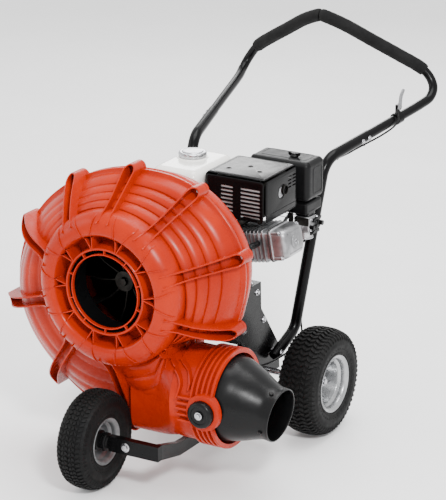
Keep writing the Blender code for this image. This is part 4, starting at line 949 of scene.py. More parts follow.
REAR_TYRE = dict(radius=0.165, width=0.127, bead=0.0785, rim_half=0.0585, rows=REAR_ROWS, count=58,
                 depth=0.0062, drop=0.017)
FRONT_TYRE = dict(radius=0.147, width=0.095, bead=0.0605, rim_half=0.042, rows=FRONT_ROWS, count=60,
                  depth=0.0042, drop=0.013)
DISH_STEPS = ((0.03, 0.001), (0.032, 0.0045), (0.042, 0.0055), (0.0445, 0.0015), (0.05, 0.001))
for sign, word in ((-1, "left"), (1, "right")):
    hub = local(f"rear_wheel_{word}_spin")
    wheel = f"rear_wheel_{word}"
    tyre(f"rear_tyre_{word}", (f"rear_tyre_{word}",), wheel, hub, X * sign, **REAR_TYRE)
    section = rim_section(flange=0.089, bead=REAR_TYRE["bead"], half=REAR_TYRE["rim_half"], bore=0.0103,
                          dish=-0.016, boss=0.0125, steps_out=DISH_STEPS)
    piece(f"rear_rim_{word}", lathe(section, X * sign, hub, 128), "rim_silver", wheel, (f"rear_rim_{word}",))
    stem = hub + Z * 0.06 + X * sign * -0.006
    valve = lathe(to_axis((0.0052, 0.0), (0.0052, 0.006), (0.004, 0.01), (0.0038, 0.022), (0.0046, 0.0225),
                          (0.0046, 0.031), (0.0038, 0.033)), X * sign - Z * 0.12, stem - X * sign * 0.008, 24)
    piece(f"rear_valve_{word}", valve, "tyre_rubber", wheel)
    rivets = bmesh.new()
    for turn in turns(8, 0.5):
        spot = hub + wheel_spot(turn) * 0.037 - X * sign * 0.0108
        add_lathe(rivets, [(0.0, 0.0), (0.0032, 0.0), (0.003, 0.0012), (0.0018, 0.0019), (0.0, 0.0021)],
                  X * sign, spot, 16)
    piece(f"rear_rim_welds_{word}", rivets, "rim_silver", wheel)
    nut = bmesh.new()
    add_lathe(nut, [(0.0099, 0.0128), (0.0158, 0.0128), (0.0158, 0.0205), (0.0148, 0.0222), (0.0099, 0.0222)],
              X * sign, hub, 6)
    piece(f"axle_nut_{word}", nut, "zinc_steel", "chassis", (f"axle_nut_{word}",), bevel=0.0005)
    cone = lathe(to_axis((0.0092, 0.0205), (0.0092, 0.0265), (0.008, 0.0278)), X * sign, hub, 32)
    piece(f"axle_end_{word}", cone, "zinc_steel")

AXLE = local("rear_wheel_left_spin")
piece("rear_axle_bar", rod((-0.36, AXLE.y, AXLE.z), (0.36, AXLE.y, AXLE.z), 0.0095, 32), "zinc_steel",
      nodes=("rear_axle",))

FRONT = local("front_wheel_spin")
tyre("front_tyre", ("front_tyre",), "front_wheel", FRONT, X, **FRONT_TYRE)
front_steps = ((0.0335, 0.001), (0.0345, 0.003), (0.039, 0.0035), (0.0405, 0.0012))
front_rim_section = rim_section(flange=0.07, bead=FRONT_TYRE["bead"], half=FRONT_TYRE["rim_half"],
                                bore=0.0225, dish=-0.002, boss=0.0095, steps_out=front_steps)
piece("front_rim", lathe(front_rim_section, X, FRONT, 128), "rim_grey", "front_wheel", ("front_rim",))
rim_studs = bmesh.new()
for turn in (even + 0.3 for even in turns(5)):
    bolt(rim_studs, FRONT + Vector((0.001, 0.0365 * math.cos(turn), 0.0365 * math.sin(turn))), X, 0.0034,
         0.0028)
piece("front_rim_bolts", rim_studs, "zinc_steel", "front_wheel", bevel=0.0002)
hub_shape = [(0.0086, -0.04), (0.0218, -0.04), (0.0218, 0.012), (0.0285, 0.013), (0.03, 0.015), (0.03, 0.021),
             (0.0285, 0.0225), (0.0235, 0.0235), (0.023, 0.033), (0.025, 0.0345), (0.0262, 0.0365),
             (0.0262, 0.044), (0.025, 0.0465), (0.019, 0.048), (0.018, 0.0515), (0.0086, 0.052)]
piece("front_hub", lathe(hub_shape, X, FRONT, 96), "black_moulding", "front_wheel", ("front_hub",))
fluting = bmesh.new()
for turn in turns(14):
    spot = FRONT + wheel_spot(turn) * 0.0255
    add_rod(fluting, spot + X * 0.0355, spot + X * 0.045, 0.0022, 12)
piece("front_hub_flutes", fluting, "black_moulding", "front_wheel")
piece("front_axle_pin", rod(FRONT - X * 0.05, FRONT + X * 0.08, 0.008, 28), "zinc_steel",
      nodes=("front_axle",))
stub = lathe([(0.0084, -0.0405), (0.0155, -0.0405), (0.0155, -0.049), (0.0145, -0.05), (0.0084, -0.05)], X,
             FRONT, 6)
piece("front_axle_nut", stub, "zinc_steel", nodes=("front_axle_nut",), bevel=0.0005)


# ---------------------------------------------------------------- handle and aim control
LEG_R, BOW_R, FOAM_R = 0.017, 0.0145, 0.0205
LEG_BEND = Vector((0.233, 0.498, 0.776))
BOW_CORNER = Vector((0.34, 1.0, 0.86))
LEVER = local("aim_lever_tilt")


def bow_point(y):
    """A point on the straight side tube at the given y, on the +X side."""
    return LEG_BEND.lerp(BOW_CORNER, (y - LEG_BEND.y) / (BOW_CORNER.y - LEG_BEND.y))


def mirrored(path):
    return [Vector((-p.x, p.y, p.z)) for p in path]


half_bow = [bow_point(0.645), bow_point(0.8), bow_point(0.95), Vector((0.341, 1.003, 0.869)),
            Vector((0.333, 1.031, 0.902)), Vector((0.2985, 1.0295, 0.945)), Vector((0.226, 0.995, 0.992)),
            Vector((0.152, 0.961, 1.036)), Vector((0.075, 0.926, 1.082)), Vector((0.014, 0.903, 1.109)),
            Vector((0.0, 0.902, 1.11))]
bow = smooth_path(half_bow + mirrored(half_bow[:-1])[::-1], 10)
piece("handle_bow_tube", sweep(bow, BOW_R, 32), "black_paint", nodes=("handle_bow",))
bends = [(0.184, 0.272, 0.203), (0.197, 0.38, 0.262), LEG_BEND, bow_point(0.7)]
leg = rounded_path(bends, (0.06, 0.075), 14)
for word, points in (("right", leg), ("left", mirrored(leg))):
    tube = sweep(points, lambda i, n=len(points): LEG_R - 0.0012 * (i >= n - 1), 32)
    piece(f"handle_leg_{word}", tube, "black_paint", nodes=(f"handle_leg_{word}",))
foam = [p for p in bow if 0.004 < p.x < 0.305 and p.z > 0.93]
for word, points in (("right", foam), ("left", mirrored(foam))):
    count = len(points)

    def swell(i, n=count):
        edge = min(i, n - 1 - i)
        return FOAM_R - (0.0022 if edge == 0 else 0.0006 if edge == 1 else 0.0) + 0.00025 * math.sin(i * 2.1)

    grip = add_sweep(bmesh.new(), points, swell, 40)
    obj = piece(f"foam_sleeve_{word}", grip, "foam_grip", nodes=(f"foam_grip_{word}",), smooth_deg=60)

joint_bolts = bmesh.new()
for sign in (-1, 1):
    for y in (0.655, 0.685):
        spot = bow_point(y)
        spot.x *= sign
        out = Vector((sign, -0.15, -0.1)).normalized()
        bolt(joint_bolts, spot + out * (LEG_R - 0.0006), out, 0.0055, 0.004)
piece("handle_bolts", joint_bolts, "zinc_steel", bevel=0.0003)

plates = bmesh.new()
for sign in (-1, 1):
    lower = Vector((sign * 0.184, 0.29, 0.213)) + X * sign * (LEG_R - 0.0008)
    for spot in (lower, lower + Vector((0, 0.05, 0.027))):
        bolt(plates, spot, X * sign, 0.0075, 0.005)
piece("leg_bolts", plates, "zinc_steel", bevel=0.0004)

seat = bow_point(LEVER.y)
along = (BOW_CORNER - LEG_BEND).normalized()
clamp = lathe([(BOW_R + 0.0004, -0.014), (BOW_R + 0.0036, -0.014), (BOW_R + 0.0046, -0.013),
               (BOW_R + 0.0046, 0.013), (BOW_R + 0.0036, 0.014), (BOW_R + 0.0004, 0.014)], along, seat, 48)
merge(clamp, box(seat + Vector((-0.004, -0.01, BOW_R + 0.003)), seat + Vector((0.004, 0.01, BOW_R + 0.03))))
piece("lever_clamp", clamp, "black_paint", nodes=("lever_bracket",), bevel=0.0006)
y, z = LEVER.y, LEVER.z
side_view = smooth_path([(y - 0.01, z - 0.006, 0), (y - 0.002, z - 0.01, 0), (y + 0.007, z - 0.007, 0),
                         (y + 0.0095, z + 0.01, 0), (y + 0.013, z + 0.03, 0), (y + 0.0265, z + 0.046, 0),
                         (y + 0.024, z + 0.0525, 0), (y + 0.016, z + 0.0515, 0), (y + 0.001, z + 0.037, 0),
                         (y - 0.007, z + 0.012, 0)], 4)
lever = prism([(p.x, p.y) for p in side_view], "X", LEVER.x + 0.0045, LEVER.x + 0.0105)
add_rod(lever, LEVER - X * 0.007, LEVER + X * 0.0125, 0.003, 20)
add_rod(lever, LEVER + X * 0.01, LEVER + X * 0.013, 0.0062, 6)
piece("aim_lever", lever, "lever_grey", "aim_lever", ("aim_lever",), bevel=0.0008)

under = BOW_R + 0.005
route = [LEVER + Vector((0.0075, -0.016, -0.004)), bow_point(LEVER.y - 0.035) + Vector((0.024, 0, 0.002)),
         bow_point(LEVER.y - 0.085) + Vector((0.01, 0, -under)), bow_point(0.62) - Z * (LEG_R + 0.005),
         Vector((0.235, 0.526, 0.748)), Vector((0.2222, 0.486, 0.62)), Vector((0.2063, 0.435, 0.4)),
         Vector((0.201, 0.414, 0.295)), Vector((0.214, 0.39, 0.228)), Vector((0.214, 0.305, 0.212)),
         Vector((0.2, 0.2, 0.207)), Vector((0.188, 0.1, 0.228)), Vector((0.195, 0.0, 0.28)),
         Vector((0.235, -0.042, 0.335)), Vector((0.26, -0.046, 0.362))]
cable_path = smooth_path(route, 10)
piece("aim_cable_sleeve", sweep(cable_path, 0.003, 16), "black_moulding", nodes=("aim_cable",))
ties = bmesh.new()
for index in (26, 36, 55, 64):
    here, ahead = cable_path[index], cable_path[index + 1]
    add_lathe(ties, [(0.003, -0.002), (0.0044, -0.002), (0.0044, 0.002), (0.003, 0.002)], ahead - here, here,
              24)
for end, ahead in ((cable_path[0], cable_path[1]), (cable_path[-1], cable_path[-2])):
    add_lathe(ties, to_axis((0.0034, 0.0), (0.0046, 0.002), (0.0046, 0.014), (0.0034, 0.016)), ahead - end,
              end, 24)
piece("cable_ferrules", ties, "black_moulding")


# ---------------------------------------------------------------- engine
CYL_TILT_DEG = 10.0


def tilted(bm):
    """Turns a block drawn along +X at the crankshaft up to the cylinder's tilt."""
    turn = Matrix.Rotation(-math.radians(CYL_TILT_DEG), 4, "Y") @ Matrix.Translation(-CRANK)
    turn = Matrix.Translation(CRANK) @ turn
    bmesh.ops.transform(bm, matrix=turn, verts=bm.verts)
    return bm


# exhaust guard: a rounded sheet box with louvre slots, a round outlet and three screws on top
(gx0, gy0, gz0), (gx1, gy1, gz1) = node_box("muffler_guard")
guard = piece("exhaust_guard", box((gx0, gy0, gz0), (gx1, gy1, gz1)), "black_paint", nodes=("muffler_guard",))
add_bevel(guard, 0.017, 7, 50)
cut(guard, box((gx0 + 0.003, gy0 + 0.003, gz0 - 0.02), (gx1 - 0.003, gy1 - 0.003, gz1 - 0.003)))
slots = bmesh.new()
for low, high in ((gx0 + 0.058, gx0 + 0.1), (gx0 + 0.124, gx1 - 0.018)):
    for row in range(8):
        z = gz1 - 0.036 - 0.012 * row
        outline = rounded_outline((low, z - 0.0032), (high, z + 0.0032), 0.003, 4)
        add_prism(slots, outline, "Y", gy0 - 0.01, gy0 + 0.006)
for row in range(4):
    z = gz1 - 0.026 - 0.0105 * row
    for start in (gy1 - 0.062, gy1 - 0.036):
        outline = rounded_outline((start, z - 0.0024), (start + 0.02, z + 0.0024), 0.0023, 4)
        add_prism(slots, outline, "X", gx1 - 0.006, gx1 + 0.01)
cut(guard, slots)
outlet = Vector((gx1, 0.16, 0.772))
OUTLET_R = 0.018
cut(guard, rod(outlet - X * 0.02, outlet + X * 0.01, OUTLET_R, 48))
rim = bmesh.new()
add_lathe(rim, [(OUTLET_R, -0.003), (0.0215, -0.003), (0.0218, 0.0), (0.0205, 0.0006), (OUTLET_R, -0.0008)],
          X, outlet, 48)
piece("guard_outlet_rim", rim, "black_paint")
beads = bmesh.new()
frame_loop = rounded_outline((gy0 + 0.03, gz0 + 0.014), (gy1 - 0.012, gz0 + 0.03), 0.006, 5)
add_bead(beads, frame_loop, "X", gx1 - 0.0006, 0.0013)
top_loop = rounded_outline((gx0 + 0.02, gy0 + 0.018), (gx1 - 0.02, gy1 - 0.018), 0.014, 6)
add_bead(beads, top_loop, "Z", gz1 - 0.0008)
piece("guard_beads", beads, "black_paint")
screws_top = bmesh.new()
dents = bmesh.new()
for sx, sy in ((0.052, 0.06), (0.1, 0.105), (0.15, 0.07)):
    spot = Vector((gx0 + sx, gy0 + sy, gz1 - 0.0004))
    add_lathe(dents, [(0.0072, 0.0), (0.0108, 0.0), (0.0104, 0.0008), (0.0078, 0.0008)], Z, spot, 32)
    cut(guard, rod(spot - Z * 0.01, spot + Z * 0.01, 0.0072, 32))
    bolt(screws_top, spot - Z * 0.006, Z, 0.0048, 0.003, washer=False)
piece("guard_screw_rings", dents, "black_paint")
piece("guard_screws", screws_top, "dark_steel")
low_screws = bmesh.new()
for sx in (0.02, 0.094, 0.188):
    bolt(low_screws, (gx0 + sx, gy0 - 0.0002, gz0 + 0.012), -Y, 0.0042, 0.003)
piece("guard_front_screws", low_screws, "dark_steel", bevel=0.0003)
# The sheet behind the slots gets a pale finish below: painted light, so the slots read bright though the sheet
# lies in the guard's shade.
fence = bmesh.new()
add_box(fence, (gx0 + 0.018, gy0 + 0.0036, gz0 + 0.02), (gx1 - 0.016, gy0 + 0.005, gz1 - 0.018))
add_lathe(fence, to_axis((0.017, 0.0), (0.017, 0.012)), X, outlet - X * 0.016, 40)
shield = piece("heat_shield", fence, "lever_grey")
shield.data.materials[0] = MAT["painted_light_sheet"]
SCREEN_R, SCREEN_PITCH, SCREEN_WIRE = 0.0165, 0.0048, 0.0006
mesh_bars = bmesh.new()
behind = outlet - X * 0.0022
for off in (k * SCREEN_PITCH for k in range(-3, 4)):
    reach = math.sqrt(max(0.0, SCREEN_R ** 2 - off ** 2))
    add_rod(mesh_bars, behind + Vector((0, -reach, off)), behind + Vector((0, reach, off)), SCREEN_WIRE, 8)
    add_rod(mesh_bars, behind + Vector((0, off, -reach)), behind + Vector((0, off, reach)), SCREEN_WIRE, 8)
piece("spark_screen", mesh_bars, "zinc_steel")

# air cleaner
(cx0, cy0, cz0), (cx1, cy1, cz1) = node_box("air_cleaner_cover")
cover = piece("cleaner_cover", box((cx0, cy0, cz0), (cx1, cy1, cz1)), "cleaner_black",
              nodes=("air_cleaner_cover",))
add_bevel(cover, 0.016, 7, 50)
bands = bmesh.new()
band_y, band_width = cy0 + 0.0165, 0.0034
loop = rounded_outline((cx0 - 0.0004, cz0 + 0.002), (cx1 + 0.0004, cz1 + 0.0004), 0.015, 8)
inner = rounded_outline((cx0 + 0.004, cz0 + 0.006), (cx1 - 0.004, cz1 - 0.004), 0.011, 8)
band_edges = ((loop, band_y), (loop, band_y + band_width), (inner, band_y + band_width), (inner, band_y))
skin(bands, [[bands.verts.new((a, y, b)) for a, b in outline] for outline, y in band_edges], loop=True)
piece("cleaner_band", bands, "cleaner_black", bevel=0.0006)
panel = bmesh.new()
side_loop = rounded_outline((cy0 + 0.034, cz0 + 0.02), (cy1 - 0.018, cz1 - 0.022), 0.01, 6)
add_bead(panel, side_loop, "X", cx1 - 0.0004)
top_panel = rounded_outline((cx0 + 0.024, cy0 + 0.03), (cx1 - 0.024, cy1 - 0.014), 0.012, 6)
add_bead(panel, top_panel, "Z", cz1 - 0.0005)
piece("cleaner_panel_lines", panel, "cleaner_black")
(bx0, by0, bz0), (bx1, by1, bz1) = node_box("air_cleaner_base")
tray = piece("cleaner_tray", box((bx0, by0, bz1 - 0.036), (bx1, by1, bz1)), "cleaner_black",
             nodes=("air_cleaner_base",))
add_bevel(tray, 0.008, 4, 50)
neck = piece("cleaner_neck", box((0.236, by0 + 0.01, bz0), (0.282, by0 + 0.06, bz1 - 0.02)), "black_moulding")
add_bevel(neck, 0.006, 3, 50)
knob = local("air_cleaner_knob_turn")
base = Vector((knob.x, knob.y, cz1 + 0.0002))
wing = lathe([(0.0, 0.0), (0.0125, 0.0), (0.0125, 0.0035), (0.0105, 0.0055), (0.0075, 0.0085), (0.007, 0.012),
              (0.0, 0.0125)], Z, base, 40)
for sign in (-1, 1):
    shape = smooth_path([(0.0, 0.002, 0), (0.012, 0.002, 0), (0.0185, 0.006, 0), (0.0195, 0.0115, 0),
                         (0.0165, 0.0142, 0), (0.0105, 0.0118, 0), (0.0, 0.011, 0)], 4)
    add_prism(wing, [(base.x + sign * p.x, base.z + p.y) for p in shape], "Y", base.y - 0.003, base.y + 0.003)
piece("cleaner_wing_nut", wing, "black_moulding", "air_cleaner_knob", ("air_cleaner_knob",), bevel=0.0008)

# fuel tank and cap
(tx0, ty0, tz0), (tx1, ty1, tz1) = node_box("fuel_tank")
tx0 += 0.03
tank = piece("tank_shell", box((tx0, ty0, tz0), (tx1, ty1, tz1)), "tank_white", nodes=("fuel_tank",))
add_bevel(tank, 0.026, 9, 50)
seam_z = tz0 + 0.052
loop = rounded_outline((tx0 - 0.003, ty0 - 0.003), (tx1 + 0.003, ty1 + 0.003), 0.028, 8)
seam = prism(loop, "Z", seam_z - 0.0014, seam_z + 0.0014)
piece("tank_seam", seam, "tank_white", bevel=0.0006)
cap_at = Vector((local("fuel_cap_turn").x, local("fuel_cap_turn").y, tz1))
collar_bm = lathe(to_axis((0.0475, -0.001), (0.047, 0.0014), (0.045, 0.0028)), Z, cap_at, 72)
piece("filler_rim", collar_bm, "tank_white")
CAP_LOBES = 9
cap_bm = bmesh.new()
rings = []
for r, h, depth in ((0.04, 0.003, 0.0), (0.0418, 0.0034, 0.0022), (0.0428, 0.005, 0.003),
                    (0.0428, 0.0135, 0.003), (0.0422, 0.0158, 0.0022), (0.0398, 0.0176, 0.0008),
                    (0.036, 0.0186, 0.0), (0.034, 0.018, 0.0), (0.0325, 0.018, 0.0), (0.03, 0.0205, 0.0),
                    (0.018, 0.0222, 0.0)):
    ring = []
    for turn in turns(180):
        lobe = abs(math.sin(turn * CAP_LOBES / 2)) ** 0.6
        radius = r - depth * (1 - lobe)
        ring.append(cap_bm.verts.new(cap_at + Vector((radius * math.cos(turn), radius * math.sin(turn), h))))
    rings.append(ring)
piece("fuel_cap_chrome", skin(cap_bm, rings), "zinc_steel", "fuel_cap", ("fuel_cap",))
feet = bmesh.new()
for x in (tx0 + 0.022, tx1 - 0.022):
    for y in (ty0 + 0.03, ty1 - 0.03):
        add_rod(feet, (x, y, tz0 - 0.013), (x, y, tz0 + 0.006), 0.008, 24)
piece("tank_studs", feet, "zinc_steel")

# cylinder, head and valve cover
cyl_y = (0.06, 0.185)
barrel = tilted(box((0.11, cyl_y[0] + 0.006, CRANK_Z - 0.04), (0.286, cyl_y[1] - 0.006, CRANK_Z + 0.04)))
piece("cylinder_core", barrel, "cast_alloy", bevel=0.004)
fins = bmesh.new()
for k in range(10):
    x = 0.15 + 0.0128 * k
    outline = rounded_outline((cyl_y[0], CRANK_Z - 0.05), (cyl_y[1], CRANK_Z + 0.05), 0.012, 4)
    add_prism(fins, outline, "X", x, x + (0.0052 if k == 9 else 0.0032))
piece("cylinder_fins", tilted(fins), "cast_alloy", nodes=("cylinder_block",), bevel=0.0008)
gasket = prism(rounded_outline((cyl_y[0] + 0.0005, CRANK_Z - 0.05), (cyl_y[1] - 0.0005, CRANK_Z + 0.05),
                               0.017, 6), "X", 0.2852, 0.289)
piece("head_gasket", tilted(gasket), "gasket", nodes=("valve_cover_gasket",))
lid = bmesh.new()
rings = []
for x, inset in ((0.2888, 0.0), (0.294, 0.0), (0.295, 0.0012), (0.2955, 0.0034), (0.31, 0.0048),
                 (0.326, 0.0062), (0.334, 0.009), (0.3385, 0.014), (0.34, 0.02)):
    outline = rounded_outline((cyl_y[0] + 0.001 + inset, CRANK_Z - 0.049 + inset),
                              (cyl_y[1] - 0.001 - inset, CRANK_Z + 0.049 - inset), 0.017, 7)
    rings.append([lid.verts.new((x, a, b)) for a, b in outline])
skin(lid, rings)
centre_y = sum(cyl_y) / 2
add_lathe(lid, to_axis((0.0215, 0.338), (0.0205, 0.3425), (0.018, 0.344), (0.015, 0.344), (0.0138, 0.342)), X,
          (0, centre_y, CRANK_Z), 56)
for dz in (-0.03, 0.03):
    add_box(lid, (0.336, centre_y - 0.036, CRANK_Z + dz - 0.0016), (0.3418, centre_y + 0.036,
                                                                    CRANK_Z + dz + 0.0016))
piece("valve_cover_cast", tilted(lid), "cast_alloy", nodes=("valve_cover",), bevel=0.001)
cover_corners = [(centre_y + dy, CRANK_Z + dz) for dy in (-0.052, 0.052) for dz in (-0.038, 0.038)]
lid_bolts = bmesh.new()
for y, z in cover_corners:
    spot = Vector((0.295, y, z))
    add_lathe(lid_bolts, to_axis((0.0066, 0.0), (0.0066, 0.0245), (0.0055, 0.026)), X, spot, 28)
piece("valve_cover_bosses", tilted(lid_bolts), "cast_alloy")
heads = bmesh.new()
for y, z in cover_corners:
    bolt(heads, (0.3208, y, z), X, 0.0048, 0.004)
bolt(heads, (0.3418, centre_y, CRANK_Z), X, 0.0055, 0.0002)
piece("valve_cover_bolts", tilted(heads), "zinc_steel", bevel=0.0003)
boot_path = rounded_path([(0.245, 0.0592, 0.64), (0.245, 0.026, 0.64), (0.217, 0.014, 0.626)], (0.014,), 8)
boot = sweep(boot_path, lambda i: 0.0088 + 0.0006 * (i % 3 == 0), 24)
piece("plug_boot", boot, "black_moulding", nodes=("spark_plug_boot",))
lead = smooth_path([(0.217, 0.014, 0.626), (0.19, 0.006, 0.618), (0.15, 0.012, 0.64), (0.12, 0.02, 0.668),
                    (0.098, 0.05, 0.684)], 8)
piece("ignition_lead", sweep(lead, 0.0038, 16), "black_moulding")

# crankcase dress: ribs, side cover bolts, bosses and pipes
(kx0, ky0, kz0), (kx1, ky1, kz1) = node_box("crankcase")
case_ribs = bmesh.new()
for k in range(6):
    z = 0.478 + 0.034 * k
    add_box(case_ribs, (kx1 - 0.004, 0.0 if z < 0.66 else 0.02, z - 0.0018), (kx1 + 0.005, 0.196, z + 0.0018))
for k in range(4):
    y = 0.01 + 0.055 * k
    add_box(case_ribs, (kx1 - 0.004, y - 0.0018, 0.462), (kx1 + 0.0042, y + 0.0018, 0.56))
piece("crankcase_ribs", case_ribs, "cast_alloy", bevel=0.0008)
flange = bmesh.new()
edge = rounded_outline((kx0 + 0.001, 0.46), (kx1 - 0.001, 0.689), 0.03, 8)
add_prism(flange, edge, "Y", -0.034, -0.026)
piece("crankcase_cover_flange", flange, "cast_alloy", bevel=0.0012)
cover_bolts = bmesh.new()
COVER_FACE_Y = -0.0402
for x, z in ((-0.108, 0.5), (-0.108, 0.585), (-0.1, 0.668), (0.0, 0.678), (0.102, 0.668), (0.108, 0.5),
             (0.0, 0.47)):
    bolt(cover_bolts, (x, COVER_FACE_Y, z), -Y, 0.0062, 0.0048)
piece("crankcase_cover_bolts", cover_bolts, "zinc_steel", bevel=0.0003)
side_cover = bmesh.new()
add_lathe(side_cover, to_axis((0.03, 0.0), (0.029, 0.01), (0.024, 0.016)), X, (kx1 - 0.001, 0.036, 0.622), 48)
add_lathe(side_cover, to_axis((0.018, 0.0), (0.017, 0.02), (0.013, 0.024)), X, (kx1 - 0.001, 0.03, 0.56), 40)
add_rod(side_cover, (kx1, 0.14, 0.52), (kx1 + 0.02, 0.14, 0.52), 0.012, 32)
piece("crankcase_side_bosses", side_cover, "cast_alloy", bevel=0.0012)
plugs = bmesh.new()
bolt(plugs, (kx1 + 0.02, 0.14, 0.52), X, 0.0085, 0.008)
bolt(plugs, (kx1 + 0.015, 0.036, 0.622), X, 0.0055, 0.005)
bolt(plugs, (kx1 + 0.023, 0.03, 0.56), X, 0.005, 0.005)
piece("crankcase_plugs", plugs, "zinc_steel", bevel=0.0004)
pipes = bmesh.new()
add_hose(pipes, [(0.14, 0.06, 0.672), (0.18, 0.07, 0.69), (0.2, 0.09, 0.704)], 0.011, 24)
piece("exhaust_elbow", pipes, "dark_steel")
hoses = bmesh.new()
add_hose(hoses, [(0.262, 0.33, 0.592), (0.24, 0.345, 0.56), (0.18, 0.33, 0.545), (0.12, 0.26, 0.6),
                 (0.09, 0.225, 0.69), (0.04, 0.215, 0.712)], 0.004)
add_hose(hoses, [(0.15, 0.196, 0.56), (0.19, 0.215, 0.58), (0.215, 0.25, 0.63), (0.232, 0.28, 0.668)], 0.005)
piece("fuel_and_breather_hoses", hoses, "black_moulding")

# governor linkage and carburettor dress
links = bmesh.new()
add_rod(links, (0.1, 0.232, 0.688), (0.244, 0.3, 0.658), 0.0012, 10)
add_rod(links, (0.112, 0.216, 0.676), (0.25, 0.296, 0.648), 0.0012, 10)
for k in range(22):
    t = k / 22
    spot = Vector((0.105, 0.24, 0.672)).lerp(Vector((0.2, 0.288, 0.652)), 0.2 + 0.5 * t)
    add_lathe(links, [(0.0028, -0.0004), (0.004, -0.0004), (0.004, 0.0004), (0.0028, 0.0004)],
              (0.95, 0.48, -0.2), spot, 16)
piece("governor_links", links, "zinc_steel")
control = bmesh.new()
add_box(control, (0.06, 0.214, 0.693), (0.125, 0.285, 0.6955))
add_box(control, (0.236, 0.262, 0.6), (0.252, 0.2645, 0.676))
add_box(control, (0.252, 0.268, 0.64), (0.3, 0.272, 0.664))
piece("control_plate", control, "dark_steel", bevel=0.0006)
carb_screws = bmesh.new()
for y, z in ((0.306, 0.649), (0.344, 0.649), (0.306, 0.612), (0.344, 0.612)):
    bolt(carb_screws, (0.288, y, z), X, 0.0032, 0.0028)
bolt(carb_screws, (0.261, 0.324, 0.5862), -Z, 0.0052, 0.004)
add_rod(carb_screws, (0.261, 0.324, 0.588), (0.261, 0.324, 0.5845), 0.0235, 40)
piece("carburettor_screws", carb_screws, "zinc_steel", bevel=0.0002)
linkage = bmesh.new()
add_box(linkage, (0.2886, 0.3, 0.602), (0.294, 0.352, 0.612))
add_hose(linkage, [(0.294, 0.306, 0.606), (0.301, 0.312, 0.622), (0.299, 0.33, 0.634), (0.292, 0.35, 0.64)],
         0.0022, 12, 6)
add_rod(linkage, (0.29, 0.35, 0.63), (0.306, 0.35, 0.63), 0.0075, 20)
add_rod(linkage, (0.288, 0.304, 0.626), (0.302, 0.304, 0.626), 0.006, 20)
piece("carburettor_linkage", linkage, "black_moulding", bevel=0.0005)

# fan shroud and starter
shroud = [(0.117, 0.2006), (0.1175, 0.286), (0.115, 0.2955), (0.108, 0.301), (0.0985, 0.302), (0.07, 0.302),
          (0.07, 0.299), (0.103, 0.299), (0.113, 0.29), (0.114, 0.2006)]
piece("cooling_shroud", lathe(shroud, Y, CRANK, 120), "black_moulding", nodes=("fan_shroud",))
starter = [(0.101, 0.3025), (0.104, 0.3025), (0.1045, 0.31), (0.1035, 0.33), (0.099, 0.337), (0.09, 0.341),
           (0.072, 0.35), (0.066, 0.352), (0.044, 0.352), (0.042, 0.3505), (0.018, 0.3505), (0.016, 0.352),
           (0.0, 0.352), (0.0, 0.349), (0.069, 0.349), (0.097, 0.334)]
cover_obj = piece("starter_cover", lathe(starter, Y, CRANK, 144), "black_moulding", nodes=("recoil_cover",))
vents = bmesh.new()
for turn in turns(20):
    middle = Vector((0.056 * math.cos(turn), 0.35, CRANK_Z + 0.056 * math.sin(turn)))
    spoke = box((-0.0022, -0.006, -0.0085), (0.0022, 0.008, 0.0085))
    bmesh.ops.transform(spoke,
                        matrix=Matrix.Translation(middle) @ Matrix.Rotation(-turn + math.pi / 2, 4, "Y"),
                        verts=spoke.verts)
    merge(vents, spoke)
cut(cover_obj, vents)
starter_bolts = bmesh.new()
for k in range(3):
    turn = 2 * math.pi * k / 3 + 0.5
    spot = Vector((0.1085 * math.cos(turn), 0.3018, CRANK_Z + 0.1085 * math.sin(turn)))
    bolt(starter_bolts, spot, Y, 0.0052, 0.0045)
piece("starter_bolts", starter_bolts, "zinc_steel", bevel=0.0003)
grip_at = Vector((-0.078, 0.366, 0.662))
GRIP_SHAPE = ((-0.034, 0.005), (-0.031, 0.0078), (-0.022, 0.0085), (0, 0.0078), (0.022, 0.0085),
              (0.031, 0.0078), (0.034, 0.005))
pull = sweep([grip_at + X * along for along, _ in GRIP_SHAPE], lambda i: GRIP_SHAPE[i][1], 28)
add_rod(pull, grip_at, grip_at - Y * 0.02, 0.005, 20)
piece("starter_grip", pull, "black_moulding", "recoil_grip", ("recoil_grip",), smooth_deg=50)

# pedestal, front arm and deck bolts
DECK_Z, PEDESTAL_X = 0.4565, 0.1652
deck_bolts = bmesh.new()
for x in (-0.145, 0.145):
    for y in (0.0, 0.19):
        bolt(deck_bolts, (x, y, DECK_Z), Z, 0.007, 0.006)
for sign in (-1, 1):
    for y, z in ((0.2, 0.43), (0.24, 0.33), (0.3, 0.21), (0.12, 0.33)):
        bolt(deck_bolts, (sign * PEDESTAL_X, y, z), X * sign, 0.007, 0.0055)
piece("pedestal_bolts", deck_bolts, "zinc_steel", bevel=0.0004)
arm_bolt = bolt(bmesh.new(), (0.095, FRONT.y - 0.0112, FRONT.z), -Y, 0.0098, 0.0062)
piece("front_arm_bolt", arm_bolt, "zinc_steel", nodes=("front_arm_bolt",), bevel=0.0005)
# A black tube lining the throat: a dark inlet, and painted shade over the orange walls deep in the intake.
liner = lathe([(0.1218, -0.3), (0.12, -0.3), (0.12, -0.382), (0.1218, -0.384)], Y, CRANK, 120)
piece("throat_shade_liner", liner, "black_moulding")


# ---------------------------------------------------------------- nodes shown as modelled
for name, obj in frame["nodes"].items():
    if obj.hide_render:
        continue
    mesh = obj.data
    mesh.materials.clear()
    # The impeller bolt takes dark_steel instead of its own slot: painted shade, so it reads black deep in the
    # intake.
    mesh.materials.append(MAT["dark_steel" if name == "impeller_bolt" else SLOT[name]])
    if "custom_normal" in mesh.attributes:
        mesh.attributes.remove(mesh.attributes["custom_normal"])
    mesh.shade_smooth()
    mesh.set_sharp_from_angle(angle=math.radians(32))
    weld = obj.modifiers.new("weld", "WELD")
    weld.merge_threshold = 0.00002
    add_bevel(obj, 0.0012, 2, 38)


